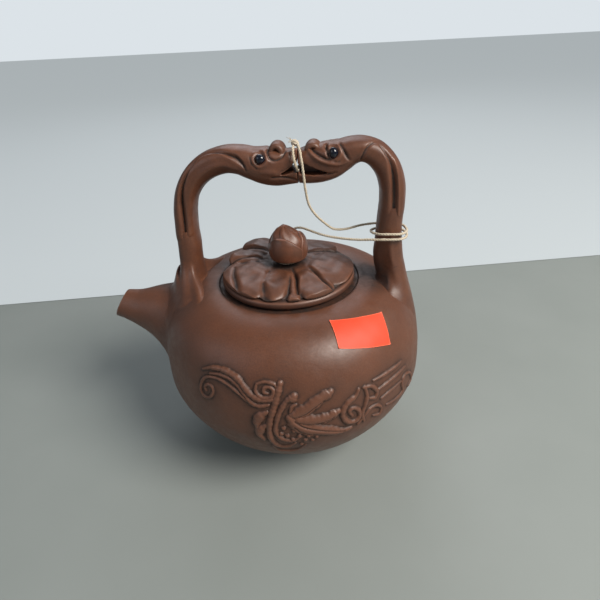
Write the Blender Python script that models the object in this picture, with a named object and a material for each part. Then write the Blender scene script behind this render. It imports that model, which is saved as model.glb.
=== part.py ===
"""Small stoneware teapot with a fixed handle of two dragons over a loose lotus-leaf lid, and a tie string.

Metres, +Z up. The origin is the centre of the foot's underside. The spout points to -X, the handle stands
in the XZ plane, and -Y is the front.
"""

import math

import bmesh
import bpy
import numpy as np
from mathutils import Vector

# Clearances
LUTE_GAP = 0.0003
CUT_OVERRUN = 0.004

# Shading: edges sharper than this stay crisp
SMOOTH_ANGLE_DEG = 38.0

# Body shell, measured on its outer surface
BELLY_RADIUS = 0.056
BELLY_LEVEL = 0.0392
BASE_CURVE_RADIUS = 0.0203
BASE_POWER_SHARE = 1.51
SHOULDER_RADIUS_SHARE = 0.5464
SHOULDER_LEVEL = 0.0757
SHOULDER_POWER_SHARE = 2.6
WALL = 0.0030
BODY_SEGMENTS = 40
LOWER_ROWS = 7
UPPER_ROWS = 10
HOLLOW_LOWER_ROWS = 5
HOLLOW_UPPER_ROWS = 7
LOWER_SPACING_POWER = 1.3

# Foot
FOOT_RADIUS = 0.0255
FOOT_HEIGHT = 0.0020
FOOT_CHAMFER = 0.0006

# Lid seat and lid
LID_MARGIN = 0.0028
SEAT_WIDTH = 0.0060
SEAT_DEPTH = 0.0007
SEAT_CLEARANCE = 0.0015
LID_THICKNESS = 0.0036
LID_EDGE = 0.0011
LID_DOME = 0.0012
LID_REST_GAP = 0.0003
FLANGE_CLEARANCE = 0.0006
FLANGE_WALL = 0.0025
FLANGE_DEPTH = 0.0076
LEAF_MARGIN = 0.0016
LEAF_EDGE = 0.0021
LEAF_PUFF = 0.0030
LEAF_PUFF_POWER = 0.8
LEAF_CREASE = 0.0011
LEAF_DISH = 0.0012
LEAF_RIB = 0.0013
LEAF_RIB_TURN_DEG = 272.5
LEAF_RIB_SPREAD_DEG = 4.5
FOLD_SPREAD_DEG = 6.0
NOTCH_SPREAD_DEG = 7.0
NOTCH_SHARE = 0.085
FOLD_FLATTENING_SHARE = 0.45
LEAF_STEPS = 60

# Knob: a lotus bud on a narrow neck, with three petals laid on it
NECK_RADIUS = 0.0034
NECK_HEIGHT = 0.0016
BUD_RADIUS = 0.0068
BUD_HEIGHT = 0.0130
PETAL_THICKNESS = 0.0006
PETAL_START_SHARE = 0.10
PETAL_TIP_SHARE = 0.14
PETAL_ROWS = 6
VENT_RADIUS = 0.0009

# Spout. Its length is measured from the belly's side to the middle of its mouth
SPOUT_LENGTH = 0.0221
SPOUT_MOUTH_LEVEL = 0.0608
SPOUT_ROOT_LEVEL = 0.0530
SPOUT_ROOT_RADIUS = 0.0170
SPOUT_TIP_RADIUS = 0.0063
SPOUT_SIDE_SHARE = 0.75
SPOUT_WALL = 0.0017
SPOUT_MOUTH_TILT_DEG = 30.5
STRAINER_RADIUS = 0.0014
STRAINER_RING = 0.0046
STRAINER_COUNT = 6
STRAINER_SEGMENTS = 8
SPOUT_SEGMENTS = 22
BORE_SEGMENTS = 18

# Handle
HANDLE_SPAN_SHARE = 0.7321
ARCH_BASE_LEVEL = 0.0768
ARCH_RISE = 0.0560
ARM_HALF_THICKNESS = 0.0050
ARM_HALF_WIDTH = 0.0064
GROOVE_DEPTH = 0.0010
FOOT_FLARE = 0.0105
FOOT_THICKNESS_FLARE_SHARE = 0.55
FLUTE_DEPTH = 0.0018
FLUTE_COUNT = 4

# Dragon heads. A reach is the distance from the join between them, a level share is one of the arch's rise
HEAD_JOIN_X = 0.0065
EYE_RADIUS = 0.0018
EYE_DEPTH_SHARE = 0.93
LEFT_EYE_REACH = 0.0131
RIGHT_EYE_REACH = 0.0134
LEFT_EYE_LEVEL_SHARE = 0.884
RIGHT_EYE_LEVEL_SHARE = 0.903
CURL_RADIUS = 0.0032
CURL_HALF_WIDTH = 0.0042
LEFT_CURL_REACH = 0.0076
RIGHT_CURL_REACH = 0.0068
CURL_LEVEL_SHARE = 0.930
MOUTH_WEB = 0.0014
MOUTH_CORNER_REACH = 0.0098
MOUTH_LIP_REACH = 0.0016
MOUTH_CORNER_LEVEL_SHARE = 0.768
MOUTH_LIP_LEVEL_SHARE = 0.842
MOUTH_CHIN_LEVEL_SHARE = 0.786
HEAD_HOLE_RADIUS = 0.0017
HEAD_HOLE_LEVEL_SHARE = 0.800

# Applied ornament
ORNAMENT_REACH_SHARE = 1.0714
ORNAMENT_HEIGHT = 0.0013
STEM_HALF_WIDTH = 0.0016
CURL_HALF_STRIP = 0.0010
BLADE_HALF_WIDTH = 0.0034

# String and label
STRING_DIAMETER = 0.0010
KNOT_RADIUS = 0.0018
KNOT_OFFSET = 0.0010
KNOT_LEVEL_SHARE = 0.957
KNOT_RADII_SHARES = (0.75, 1.0, 0.8)
LOOP_STEPS = 14
GAP_REACH_DIAMETERS = 4.0
LABEL_WIDTH = 0.0220
LABEL_HEIGHT = 0.0120
LABEL_THICKNESS = 0.00015
LABEL_TURN_DEG = 41.9
LABEL_CLIMB = 0.0348
LABEL_TILT_DEG = -18.2
LABEL_GRID = (9, 6)

# Sizes that follow from those above
SHOULDER_RADIUS = BELLY_RADIUS * SHOULDER_RADIUS_SHARE
LID_RADIUS = SHOULDER_RADIUS - LID_MARGIN
LEAF_RADIUS = LID_RADIUS - LEAF_MARGIN
MOUTH_RADIUS = LID_RADIUS - SEAT_WIDTH
ORNAMENT_REACH = BELLY_RADIUS * ORNAMENT_REACH_SHARE
SPOUT_REACH = BELLY_RADIUS + SPOUT_LENGTH
HANDLE_HALF_SPAN = BELLY_RADIUS * HANDLE_SPAN_SHARE
LID_BASE = SHOULDER_LEVEL - SEAT_DEPTH + LID_REST_GAP
LID_TOP = LID_BASE + LID_THICKNESS
LEAF_BASE = LID_TOP + LID_DOME + LUTE_GAP
NECK_BASE = LEAF_BASE + LEAF_EDGE + LUTE_GAP
BUD_BASE = NECK_BASE + NECK_HEIGHT + LUTE_GAP

CLAY = (0.155, 0.072, 0.045)
CLAY_DARK = (0.120, 0.055, 0.035)


# Materials

def clay_material(name, colour):
    material = bpy.data.materials.new(name)
    material.use_nodes = True
    shader = material.node_tree.nodes["Principled BSDF"]
    shader.inputs["Base Color"].default_value = (*colour, 1.0)
    shader.inputs["Roughness"].default_value = 0.55
    shader.inputs["Metallic"].default_value = 0.0
    return material


def eye_material(name):
    material = clay_material(name, (0.008, 0.010, 0.022))
    material.node_tree.nodes["Principled BSDF"].inputs["Roughness"].default_value = 0.15
    return material


def string_material(name):
    material = clay_material(name, (0.60, 0.50, 0.36))
    material.node_tree.nodes["Principled BSDF"].inputs["Roughness"].default_value = 0.9
    return material


def label_material(name):
    material = clay_material(name, (0.90, 0.075, 0.020))
    material.node_tree.nodes["Principled BSDF"].inputs["Roughness"].default_value = 0.6
    return material


# Mesh helpers

def add_piece(name, points, faces, material):
    mesh = bpy.data.meshes.new(name)
    mesh.from_pydata([tuple(point) for point in points], [], faces)
    mesh.validate()
    tidy = bmesh.new()
    tidy.from_mesh(mesh)
    bmesh.ops.recalc_face_normals(tidy, faces=tidy.faces)
    tidy.to_mesh(mesh)
    tidy.free()
    mesh.shade_smooth()
    mesh.set_sharp_from_angle(angle=math.radians(SMOOTH_ANGLE_DEG))
    mesh.materials.append(material)
    piece = bpy.data.objects.new(name, mesh)
    bpy.context.scene.collection.objects.link(piece)
    return piece


def ring_faces(start, count, following):
    faces = []
    for step in range(count):
        after = (step + 1) % count
        faces.append((start + step, start + after, following + after, following + step))
    return faces


def lofted(rings):
    """Closed skin over rings of equal count, with a fan at each end."""
    count = len(rings[0])
    points = [point for ring in rings for point in ring]
    faces = []
    for index in range(len(rings) - 1):
        faces += ring_faces(index * count, count, (index + 1) * count)
    for ring, start in ((rings[0], 0), (rings[-1], (len(rings) - 1) * count)):
        middle = len(points)
        points.append(sum((Vector(point) for point in ring), Vector()) / count)
        for step in range(count):
            faces.append((start + step, start + (step + 1) % count, middle))
    return points, faces


def turned(profile, segments):
    """Solid of revolution about Z from a profile of (radius, level). Radius zero is a point on the axis."""
    points = []
    rows = []
    for radius, level in profile:
        if radius == 0.0:
            rows.append([len(points)])
            points.append(Vector((0.0, 0.0, level)))
            continue
        row = []
        for step in range(segments):
            angle = 2.0 * math.pi * step / segments
            row.append(len(points))
            points.append(Vector((radius * math.cos(angle), radius * math.sin(angle), level)))
        rows.append(row)
    closed = profile[0][0] != 0.0
    pairs = list(zip(rows, rows[1:] + rows[:1])) if closed else list(zip(rows, rows[1:]))
    faces = []
    for lower, upper in pairs:
        for step in range(segments):
            after = (step + 1) % segments
            corners = [lower[step % len(lower)], lower[after % len(lower)]]
            corners += [upper[after % len(upper)], upper[step % len(upper)]]
            face = list(dict.fromkeys(corners))
            if len(face) > 2:
                faces.append(tuple(face))
    return points, faces


def smooth_rows(rows, steps):
    """Rows on a smooth curve through the given rows, with so many steps to each stretch."""
    table = np.array(rows, dtype=float)
    padded = np.vstack([2.0 * table[0] - table[1], table, 2.0 * table[-1] - table[-2]])
    result = []
    for index in range(len(table) - 1):
        before, start, end, after = padded[index:index + 4]
        for step in range(steps):
            share = step / steps
            part_one = 2.0 * start + (end - before) * share
            part_two = (2.0 * before - 5.0 * start + 4.0 * end - after) * share ** 2
            part_three = (3.0 * start - before - 3.0 * end + after) * share ** 3
            result.append((part_one + part_two + part_three) / 2.0)
    result.append(table[-1])
    return result


def cutter_from(name, points, faces, material):
    cutter = add_piece(name, points, faces, material)
    cutter.hide_render = True
    cutter.display_type = "WIRE"
    return cutter


def cut(piece, cutter):
    modifier = piece.modifiers.new("cut_by_" + cutter.name, "BOOLEAN")
    modifier.operation = "DIFFERENCE"
    modifier.object = cutter


def rounded(centre, radii, segments, rows):
    """Ball stretched to three radii, as points and faces."""
    profile = [(0.0, -1.0)]
    for row in range(1, rows):
        angle = math.pi * row / rows - math.pi / 2.0
        profile.append((math.cos(angle), math.sin(angle)))
    profile.append((0.0, 1.0))
    points, faces = turned(profile, segments)
    place = Vector(centre)
    stretched = [place + Vector([point[axis] * radii[axis] for axis in range(3)]) for point in points]
    return stretched, faces


# Body shell and the surface that everything else sits on

def outer_radius(level):
    if level < BELLY_LEVEL:
        drop = (BELLY_LEVEL - level) / BELLY_LEVEL
        share = max(1.0 - drop ** BASE_POWER_SHARE, 0.0) ** (1.0 / BASE_POWER_SHARE)
        return BASE_CURVE_RADIUS + (BELLY_RADIUS - BASE_CURVE_RADIUS) * share
    climb = min((level - BELLY_LEVEL) / (SHOULDER_LEVEL - BELLY_LEVEL), 1.0)
    share = (1.0 - climb ** SHOULDER_POWER_SHARE) ** (1.0 / SHOULDER_POWER_SHARE)
    return SHOULDER_RADIUS + (BELLY_RADIUS - SHOULDER_RADIUS) * share


def belly_profile(lower_steps, upper_steps, inset=0.0):
    """The outer curve from the foot to the lid recess, moved inwards by inset."""
    start_level = FOOT_HEIGHT + LUTE_GAP
    points = []
    for step in range(lower_steps):
        level = start_level + (BELLY_LEVEL - start_level) * (step / lower_steps) ** LOWER_SPACING_POWER
        points.append((outer_radius(level), level))
    for step in range(upper_steps + 1):
        angle = 0.5 * math.pi * step / upper_steps
        radius_share = math.cos(angle) ** (2.0 / SHOULDER_POWER_SHARE)
        level_share = math.sin(angle) ** (2.0 / SHOULDER_POWER_SHARE)
        if step == upper_steps:
            radius_share = 0.0
        radius = SHOULDER_RADIUS + (BELLY_RADIUS - SHOULDER_RADIUS) * radius_share
        points.append((radius, BELLY_LEVEL + (SHOULDER_LEVEL - BELLY_LEVEL) * level_share))
    if inset == 0.0:
        return points
    return inset_profile(points, inset)


def inset_profile(points, inset):
    moved = []
    for index, (radius, level) in enumerate(points):
        before = points[max(index - 1, 0)]
        after = points[min(index + 1, len(points) - 1)]
        run = Vector((after[0] - before[0], after[1] - before[1])).normalized()
        moved.append((radius - run[1] * inset, level + run[0] * inset))
    return moved


def body_profile():
    outer = belly_profile(LOWER_ROWS, UPPER_ROWS)
    recess_radius = LID_RADIUS + SEAT_CLEARANCE
    seat = SHOULDER_LEVEL - SEAT_DEPTH
    hollow = belly_profile(HOLLOW_LOWER_ROWS, HOLLOW_UPPER_ROWS, WALL)
    inner = [point for point in hollow if point[0] > MOUTH_RADIUS + WALL]
    floor_level = FOOT_HEIGHT + LUTE_GAP + WALL
    inner = [point for point in inner if point[1] > floor_level]
    profile = [(0.0, FOOT_HEIGHT + LUTE_GAP)] + outer
    profile += [(recess_radius + SEAT_DEPTH / 2.0, SHOULDER_LEVEL), (recess_radius, seat)]
    profile += [(MOUTH_RADIUS, seat), (MOUTH_RADIUS, seat - WALL)]
    profile += list(reversed(inner))
    profile += [(inner[0][0] - WALL, floor_level), (0.0, floor_level)]
    return profile


def strainer_cutters(material):
    """One hole in the middle and a ring of holes round it, through the wall behind the spout."""
    places = [(0.0, 0.0)]
    for index in range(STRAINER_COUNT):
        angle = 2.0 * math.pi * index / STRAINER_COUNT
        places.append((STRAINER_RING * math.cos(angle), STRAINER_RING * math.sin(angle)))
    cutters = []
    for index, (across, up) in enumerate(places):
        rings = []
        for along in (-BELLY_RADIUS - CUT_OVERRUN, -BELLY_RADIUS + WALL + CUT_OVERRUN):
            ring = []
            for step in range(STRAINER_SEGMENTS):
                angle = 2.0 * math.pi * step / STRAINER_SEGMENTS
                side = across + STRAINER_RADIUS * math.cos(angle)
                level = SPOUT_ROOT_LEVEL + up + STRAINER_RADIUS * math.sin(angle)
                ring.append(Vector((along, side, level)))
            rings.append(ring)
        cutters.append(cutter_from("strainer_hole_%d" % index, *lofted(rings), material))
    return cutters


def build_body(material):
    shell = add_piece("body_shell", *turned(body_profile(), BODY_SEGMENTS), material)
    for cutter in strainer_cutters(material):
        cut(shell, cutter)
    return shell


def body_envelope(material):
    """Solid of the body's outside with the lute gap added, which trims what stands on it."""
    profile = inset_profile(belly_profile(LOWER_ROWS, UPPER_ROWS), -LUTE_GAP)
    profile = [(0.0, profile[0][1])] + profile + [(0.0, profile[-1][1])]
    return cutter_from("body_envelope", *turned(profile, BODY_SEGMENTS), material)


def build_foot(material):
    profile = [(0.0, 0.0), (FOOT_RADIUS - FOOT_CHAMFER, 0.0), (FOOT_RADIUS, FOOT_CHAMFER)]
    profile += [(FOOT_RADIUS, FOOT_HEIGHT), (0.0, FOOT_HEIGHT)]
    return add_piece("foot_disc", *turned(profile, BODY_SEGMENTS), material)


# Spout

SPOUT_SHARES = (
    # length share out from the belly's side, level share from root to mouth, radius share from root to tip
    (-0.255, -0.13, 1.08),
    (-0.015, -0.05, 1.05),
    (0.158, 0.00, 0.96),
    (0.317, 0.09, 0.83),
    (0.498, 0.36, 0.59),
    (0.706, 0.60, 0.36),
    (0.919, 0.77, 0.20),
    (1.086, 0.90, 0.08),
    (1.370, 1.02, 0.00),
)


def spout_rings(inset, sides, stretch=0.0):
    """Rings from the root to past the mouth. Stretch lengthens both ends."""
    rings = []
    rise = SPOUT_MOUTH_LEVEL - SPOUT_ROOT_LEVEL
    for reach, climb, spread in smooth_rows(SPOUT_SHARES, 2):
        centre = Vector((-BELLY_RADIUS - SPOUT_LENGTH * reach, 0.0, SPOUT_ROOT_LEVEL + rise * climb))
        flare = (SPOUT_ROOT_RADIUS - SPOUT_TIP_RADIUS) * max(spread, 0.0)
        height = SPOUT_TIP_RADIUS + flare - inset
        width = SPOUT_TIP_RADIUS + flare * SPOUT_SIDE_SHARE - inset
        ring = []
        for step in range(sides):
            angle = 2.0 * math.pi * step / sides
            ring.append(centre + Vector((0.0, width * math.cos(angle), height * math.sin(angle))))
        rings.append(ring)
    if stretch:
        rings[0] = [point + Vector((stretch, 0.0, 0.0)) for point in rings[0]]
        rings[-1] = [point - Vector((stretch, 0.0, 0.0)) for point in rings[-1]]
    return rings


def mouth_slice(material):
    """Block beyond the slanted cut of the spout's mouth."""
    tilt = math.radians(SPOUT_MOUTH_TILT_DEG)
    outwards = Vector((-math.cos(tilt), 0.0, math.sin(tilt)))
    upwards = Vector((math.sin(tilt), 0.0, math.cos(tilt)))
    across = Vector((0.0, 1.0, 0.0))
    middle = Vector((-SPOUT_REACH, 0.0, SPOUT_MOUTH_LEVEL))
    size = SPOUT_ROOT_RADIUS + CUT_OVERRUN
    rings = []
    for depth in (0.0, size):
        ring = []
        for side, level in ((-1.0, -1.0), (1.0, -1.0), (1.0, 1.0), (-1.0, 1.0)):
            ring.append(middle + outwards * depth + across * side * size + upwards * level * size)
        rings.append(ring)
    return cutter_from("mouth_slice", *lofted(rings), material)


def build_spout(material, envelope):
    spout = add_piece("spout", *lofted(spout_rings(0.0, SPOUT_SEGMENTS)), material)
    bore_rings = spout_rings(SPOUT_WALL, BORE_SEGMENTS, CUT_OVERRUN)
    bore = cutter_from("spout_bore", *lofted(bore_rings), material)
    cut(spout, envelope)
    cut(spout, bore)
    cut(spout, mouth_slice(material))
    return spout


def spout_envelope(material):
    """Solid of the spout's outside with the lute gap added, which trims the pillar beside it."""
    return cutter_from("spout_envelope", *lofted(spout_rings(-LUTE_GAP, SPOUT_SEGMENTS)), material)


# Handle

HALF_SECTION_SHARES = (
    # outwards share, sideways share, how far the groove pulls the point in
    (1.00, 0.00, 0.0),
    (0.94, 0.42, 0.0),
    (0.74, 0.68, 0.0),
    (0.50, 0.72, 1.0),
    (0.32, 0.92, 0.0),
    (-0.10, 1.00, 0.0),
    (-0.52, 0.88, 0.0),
    (-0.86, 0.55, 0.0),
    (-1.00, 0.00, 0.0),
)
# Row: across share of the half span, height share of the arch rise, thickness, width and groove shares
LEFT_DRAGON_SHARES = (
    (-0.990, 0.330, 0.90, 0.94, 0.3),
    (-0.980, 0.432, 0.88, 0.95, 1.0),
    (-0.961, 0.539, 0.88, 0.97, 1.0),
    (-0.910, 0.655, 0.90, 0.98, 1.0),
    (-0.810, 0.757, 0.94, 1.00, 1.0),
    (-0.671, 0.829, 0.98, 1.02, 1.0),
    (-0.512, 0.863, 1.00, 1.03, 0.9),
    (-0.378, 0.859, 1.06, 1.06, 0.5),
    (-0.268, 0.836, 1.18, 1.10, 0.1),
    (-0.159, 0.818, 1.36, 1.10, 0.0),
    (-0.049, 0.806, 1.40, 1.03, 0.0),
    (0.061, 0.806, 1.32, 0.94, 0.0),
)
RIGHT_DRAGON_SHARES = (
    (1.005, 0.491, 0.98, 0.97, 0.3),
    (1.010, 0.575, 0.98, 0.98, 1.0),
    (1.000, 0.682, 0.98, 0.98, 1.0),
    (0.949, 0.789, 0.96, 1.00, 1.0),
    (0.851, 0.873, 0.92, 1.00, 1.0),
    (0.739, 0.907, 0.88, 1.00, 1.0),
    (0.641, 0.900, 0.98, 1.03, 0.6),
    (0.549, 0.871, 1.16, 1.08, 0.2),
    (0.459, 0.846, 1.36, 1.10, 0.0),
    (0.354, 0.825, 1.40, 1.05, 0.0),
    (0.251, 0.814, 1.36, 0.97, 0.0),
)
# The last row of each dragon, at the join
JOIN_SHARES = (0.807, 1.24, 0.84, 0.0)
LEFT_PILLAR_SHARES = (
    # across and height shares as above, thickness share, width share, flare share
    (-0.990, 0.324, 0.90, 0.94, 0.00),
    (-0.995, 0.240, 0.92, 0.97, 0.02),
    (-0.995, 0.150, 0.96, 1.00, 0.08),
    (-1.003, 0.075, 1.00, 1.05, 0.17),
    (-1.015, 0.020, 1.05, 1.12, 0.42),
    (-1.030, -0.030, 1.08, 1.16, 0.80),
    (-1.045, -0.075, 1.10, 1.18, 1.12),
    (-1.050, -0.150, 1.10, 1.20, 1.30),
)
RIGHT_PILLAR_SHARES = (
    (1.005, 0.485, 0.98, 0.97, 0.00),
    (0.995, 0.370, 0.98, 0.97, 0.00),
    (0.998, 0.240, 0.98, 0.99, 0.03),
    (1.012, 0.150, 1.00, 1.02, 0.10),
    (1.030, 0.075, 1.03, 1.05, 0.17),
    (1.055, 0.020, 1.06, 1.08, 0.25),
    (1.080, -0.040, 1.08, 1.10, 0.33),
    (1.100, -0.110, 1.10, 1.10, 0.42),
    (1.115, -0.190, 1.10, 1.10, 0.52),
    (1.115, -0.240, 1.10, 1.10, 0.56),
)


def arch_level(rise_share):
    return ARCH_BASE_LEVEL + ARCH_RISE * rise_share


def arch_place(across_share, rise_share):
    return Vector((HANDLE_HALF_SPAN * across_share, 0.0, arch_level(rise_share)))


def arm_outline(groove_depth):
    """The section's points, front side first and then the back side."""
    half = []
    for outwards, sideways, pull in HALF_SECTION_SHARES:
        half.append((outwards, sideways, pull * groove_depth))
    back = [(outwards, -sideways, -pull) for outwards, sideways, pull in reversed(half[1:-1])]
    return half + back


def arm_rings(rows, outward_sign):
    """Rings along the arm, the last one square to X. Outwards is away from the arch's inside."""
    centres = [arch_place(row[0], row[1]) for row in rows]
    rings = []
    for index, row in enumerate(rows):
        before = centres[max(index - 1, 0)]
        after = centres[min(index + 1, len(rows) - 1)]
        along = (after - before).normalized()
        if index == len(rows) - 1:
            along = Vector((outward_sign, 0.0, 0.0))
        outwards = Vector((-along[2], 0.0, along[0])) * outward_sign
        thickness = ARM_HALF_THICKNESS * row[2]
        width = ARM_HALF_WIDTH * row[3]
        ring = []
        for out_share, side_share, pull in arm_outline(GROOVE_DEPTH * row[4]):
            side = -width * side_share + pull
            ring.append(centres[index] + outwards * thickness * out_share + Vector((0.0, side, 0.0)))
        rings.append(ring)
    return rings


def dragon_rows(shares, side):
    join = (HEAD_JOIN_X - side * LUTE_GAP / 2.0) / HANDLE_HALF_SPAN
    rows = smooth_rows(shares, 2)
    return rows + [np.array((join, *JOIN_SHARES))]


def nose_curl(side, grow=0.0):
    """Rolled curl on a snout, as points and faces. Side is 1 for the left dragon, -1 for the right."""
    reach = LEFT_CURL_REACH if side > 0 else RIGHT_CURL_REACH
    centre = (HEAD_JOIN_X - side * reach, 0.0, arch_level(CURL_LEVEL_SHARE))
    radii = (CURL_RADIUS + grow, CURL_HALF_WIDTH + grow, CURL_RADIUS + grow)
    return rounded(centre, radii, 16, 8)


def eye_ball(side, front, grow=0.0):
    """Inlaid bead in a head's flank, as points and faces. Front is 1 for the front one, -1 for the back."""
    reach = LEFT_EYE_REACH if side > 0 else RIGHT_EYE_REACH
    level = arch_level(LEFT_EYE_LEVEL_SHARE if side > 0 else RIGHT_EYE_LEVEL_SHARE)
    centre = (HEAD_JOIN_X - side * reach, -front * ARM_HALF_WIDTH * EYE_DEPTH_SHARE, level)
    radius = EYE_RADIUS + grow
    return rounded(centre, (radius, radius, radius), 10, 6)


def mouth_wedges(name, side, material):
    """Two wedges that cut the mouth, from the front and the back, and leave a thin web between them."""
    corner_x = HEAD_JOIN_X - side * MOUTH_CORNER_REACH
    lip_x = HEAD_JOIN_X - side * MOUTH_LIP_REACH
    cutters = []
    for facing, label in ((-1.0, "front"), (1.0, "back")):
        rings = []
        for depth in (MOUTH_WEB, ARM_HALF_WIDTH + CUT_OVERRUN):
            corner = Vector((corner_x, facing * depth, arch_level(MOUTH_CORNER_LEVEL_SHARE)))
            lip = Vector((lip_x, facing * depth, arch_level(MOUTH_LIP_LEVEL_SHARE)))
            chin = Vector((lip_x, facing * depth, arch_level(MOUTH_CHIN_LEVEL_SHARE)))
            rings.append([corner, lip, chin])
        cutters.append(cutter_from(name + "_mouth_" + label, *lofted(rings), material))
    return cutters


def head_hole(material):
    """Round hole where the two mouths meet."""
    sides = 12
    rings = []
    for depth in (-ARM_HALF_WIDTH - CUT_OVERRUN, ARM_HALF_WIDTH + CUT_OVERRUN):
        ring = []
        for step in range(sides):
            angle = 2.0 * math.pi * (step + 0.5) / sides
            across = HEAD_JOIN_X + HEAD_HOLE_RADIUS * math.cos(angle)
            level = arch_level(HEAD_HOLE_LEVEL_SHARE) + HEAD_HOLE_RADIUS * math.sin(angle)
            ring.append(Vector((across, depth, level)))
        rings.append(ring)
    return cutter_from("head_hole", *lofted(rings), material)


def build_dragon(name, shares, side, material, hole):
    dragon = add_piece(name, *lofted(arm_rings(dragon_rows(shares, side), side)), material)
    cut(dragon, hole)
    curl_pocket = cutter_from(name + "_curl_pocket", *nose_curl(side, LUTE_GAP), material)
    cut(dragon, curl_pocket)
    for front, label in ((1.0, "front"), (-1.0, "back")):
        socket = cutter_from(name + "_socket_" + label, *eye_ball(side, front, LUTE_GAP), material)
        cut(dragon, socket)
    for wedge in mouth_wedges(name, side, material):
        cut(dragon, wedge)
    return dragon


def build_curls_and_eyes():
    for side, label in ((1.0, "left"), (-1.0, "right")):
        add_piece(label + "_nose_curl", *nose_curl(side), clay_material(label + "_nose_curl_clay", CLAY))
        for front, place in ((1.0, "front"), (-1.0, "back")):
            name = label + "_eye_" + place
            add_piece(name, *eye_ball(side, front), eye_material(name + "_inlay"))


def pillar_rings(shares, outward_sign):
    """Rings down the pillar. The foot spreads and carries flutes that fade upwards."""
    outline = arm_outline(0.0)
    rings = []
    for row in smooth_rows(shares, 2):
        centre = arch_place(row[0], row[1])
        spread = FOOT_FLARE * row[4]
        thickness = ARM_HALF_THICKNESS * row[2] + spread * FOOT_THICKNESS_FLARE_SHARE
        width = ARM_HALF_WIDTH * row[3] + spread
        ring = []
        for index, (out_share, side_share, _) in enumerate(outline):
            angle = 2.0 * math.pi * index / len(outline)
            flute = row[4] * (1.0 - math.cos(FLUTE_COUNT * angle)) / 2.0
            kept = 1.0 - FLUTE_DEPTH / ARM_HALF_WIDTH * flute
            outwards = -outward_sign * thickness * out_share * kept
            ring.append(centre + Vector((outwards, -width * side_share * kept, 0.0)))
        rings.append(ring)
    return rings


def build_pillar(name, shares, side, material, cutters):
    pillar = add_piece(name, *lofted(pillar_rings(shares, side)), material)
    for cutter in cutters:
        cut(pillar, cutter)
    return pillar


# Lid

LID_CROWN_SHARES = (0.6, 0.7)
FLANGE_BEVEL_SHARE = 0.3


def build_lid_disc(material):
    edge = LID_RADIUS - LID_EDGE
    profile = [(VENT_RADIUS, LID_BASE), (edge, LID_BASE), (LID_RADIUS, LID_BASE + LID_EDGE)]
    profile += [(LID_RADIUS, LID_TOP - LID_EDGE), (edge, LID_TOP)]
    crown_reach_share, crown_rise_share = LID_CROWN_SHARES
    profile += [(edge * crown_reach_share, LID_TOP + LID_DOME * crown_rise_share)]
    profile += [(VENT_RADIUS, LID_TOP + LID_DOME)]
    return add_piece("lid_disc", *turned(profile, BODY_SEGMENTS), material)


def build_flange(material):
    outer = MOUTH_RADIUS - FLANGE_CLEARANCE
    inner = outer - FLANGE_WALL
    top = LID_BASE - LUTE_GAP
    bottom = top - FLANGE_DEPTH
    bevel = FLANGE_WALL * FLANGE_BEVEL_SHARE
    profile = [(outer, top), (inner, top), (inner, bottom)]
    profile += [(outer - bevel, bottom), (outer, bottom + bevel)]
    return add_piece("lid_flange", *turned(profile, BODY_SEGMENTS), material)


# Direction of each fold between lobes, as degrees from +X, and how deep it is
LEAF_FOLD_SHARES = (
    (8, 0.6), (62, 0.9), (104, 0.8), (150, 1.0), (184, 0.7), (228, 0.9), (262, 1.0), (283, 1.0), (322, 1.0))
# Reaches of the rings on the leaf's top after the one at its hole, and where the puff begins and ends
LEAF_REACH_SHARES = (0.17, 0.30, 0.46, 0.66, 0.84, 0.96)
LEAF_PUFF_SHARES = (0.18, 1.04)
# Level of the leaf's outermost edge as a share of its thickness, and the reaches of the rings underneath
LEAF_RIM_SHARE = 0.3
LEAF_UNDER_SHARES = (0.96, 0.6)


def fold_at(angle_deg, spread_deg):
    """How deep in a fold a direction lies, from 0 on a lobe to the fold's own depth in its middle."""
    fold = 0.0
    for direction, depth in LEAF_FOLD_SHARES:
        away = abs((angle_deg - direction + 180.0) % 360.0 - 180.0)
        fold = max(fold, depth * math.exp(-(away / spread_deg) ** 2))
    return fold


def leaf_height(angle_deg, reach):
    """Height of the leaf's top over its underside, at a direction and a share of its radius."""
    fold = fold_at(angle_deg, FOLD_SPREAD_DEG)
    begin, end = LEAF_PUFF_SHARES
    rise = math.sin(math.pi * min(max((reach - begin) / (end - begin), 0.0), 1.0)) ** LEAF_PUFF_POWER
    rib = LEAF_RIB * math.exp(-((angle_deg - LEAF_RIB_TURN_DEG) / LEAF_RIB_SPREAD_DEG) ** 2)
    puff = LEAF_PUFF * (1.0 - FOLD_FLATTENING_SHARE * fold)
    crease = LEAF_CREASE * fold * min(reach * 2.0, 1.0)
    return LEAF_EDGE + (puff + rib - crease) * rise - LEAF_DISH * reach ** 2


def leaf_point(angle_deg, radius, level):
    angle = math.radians(angle_deg)
    return Vector((radius * math.cos(angle), radius * math.sin(angle), level))


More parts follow.
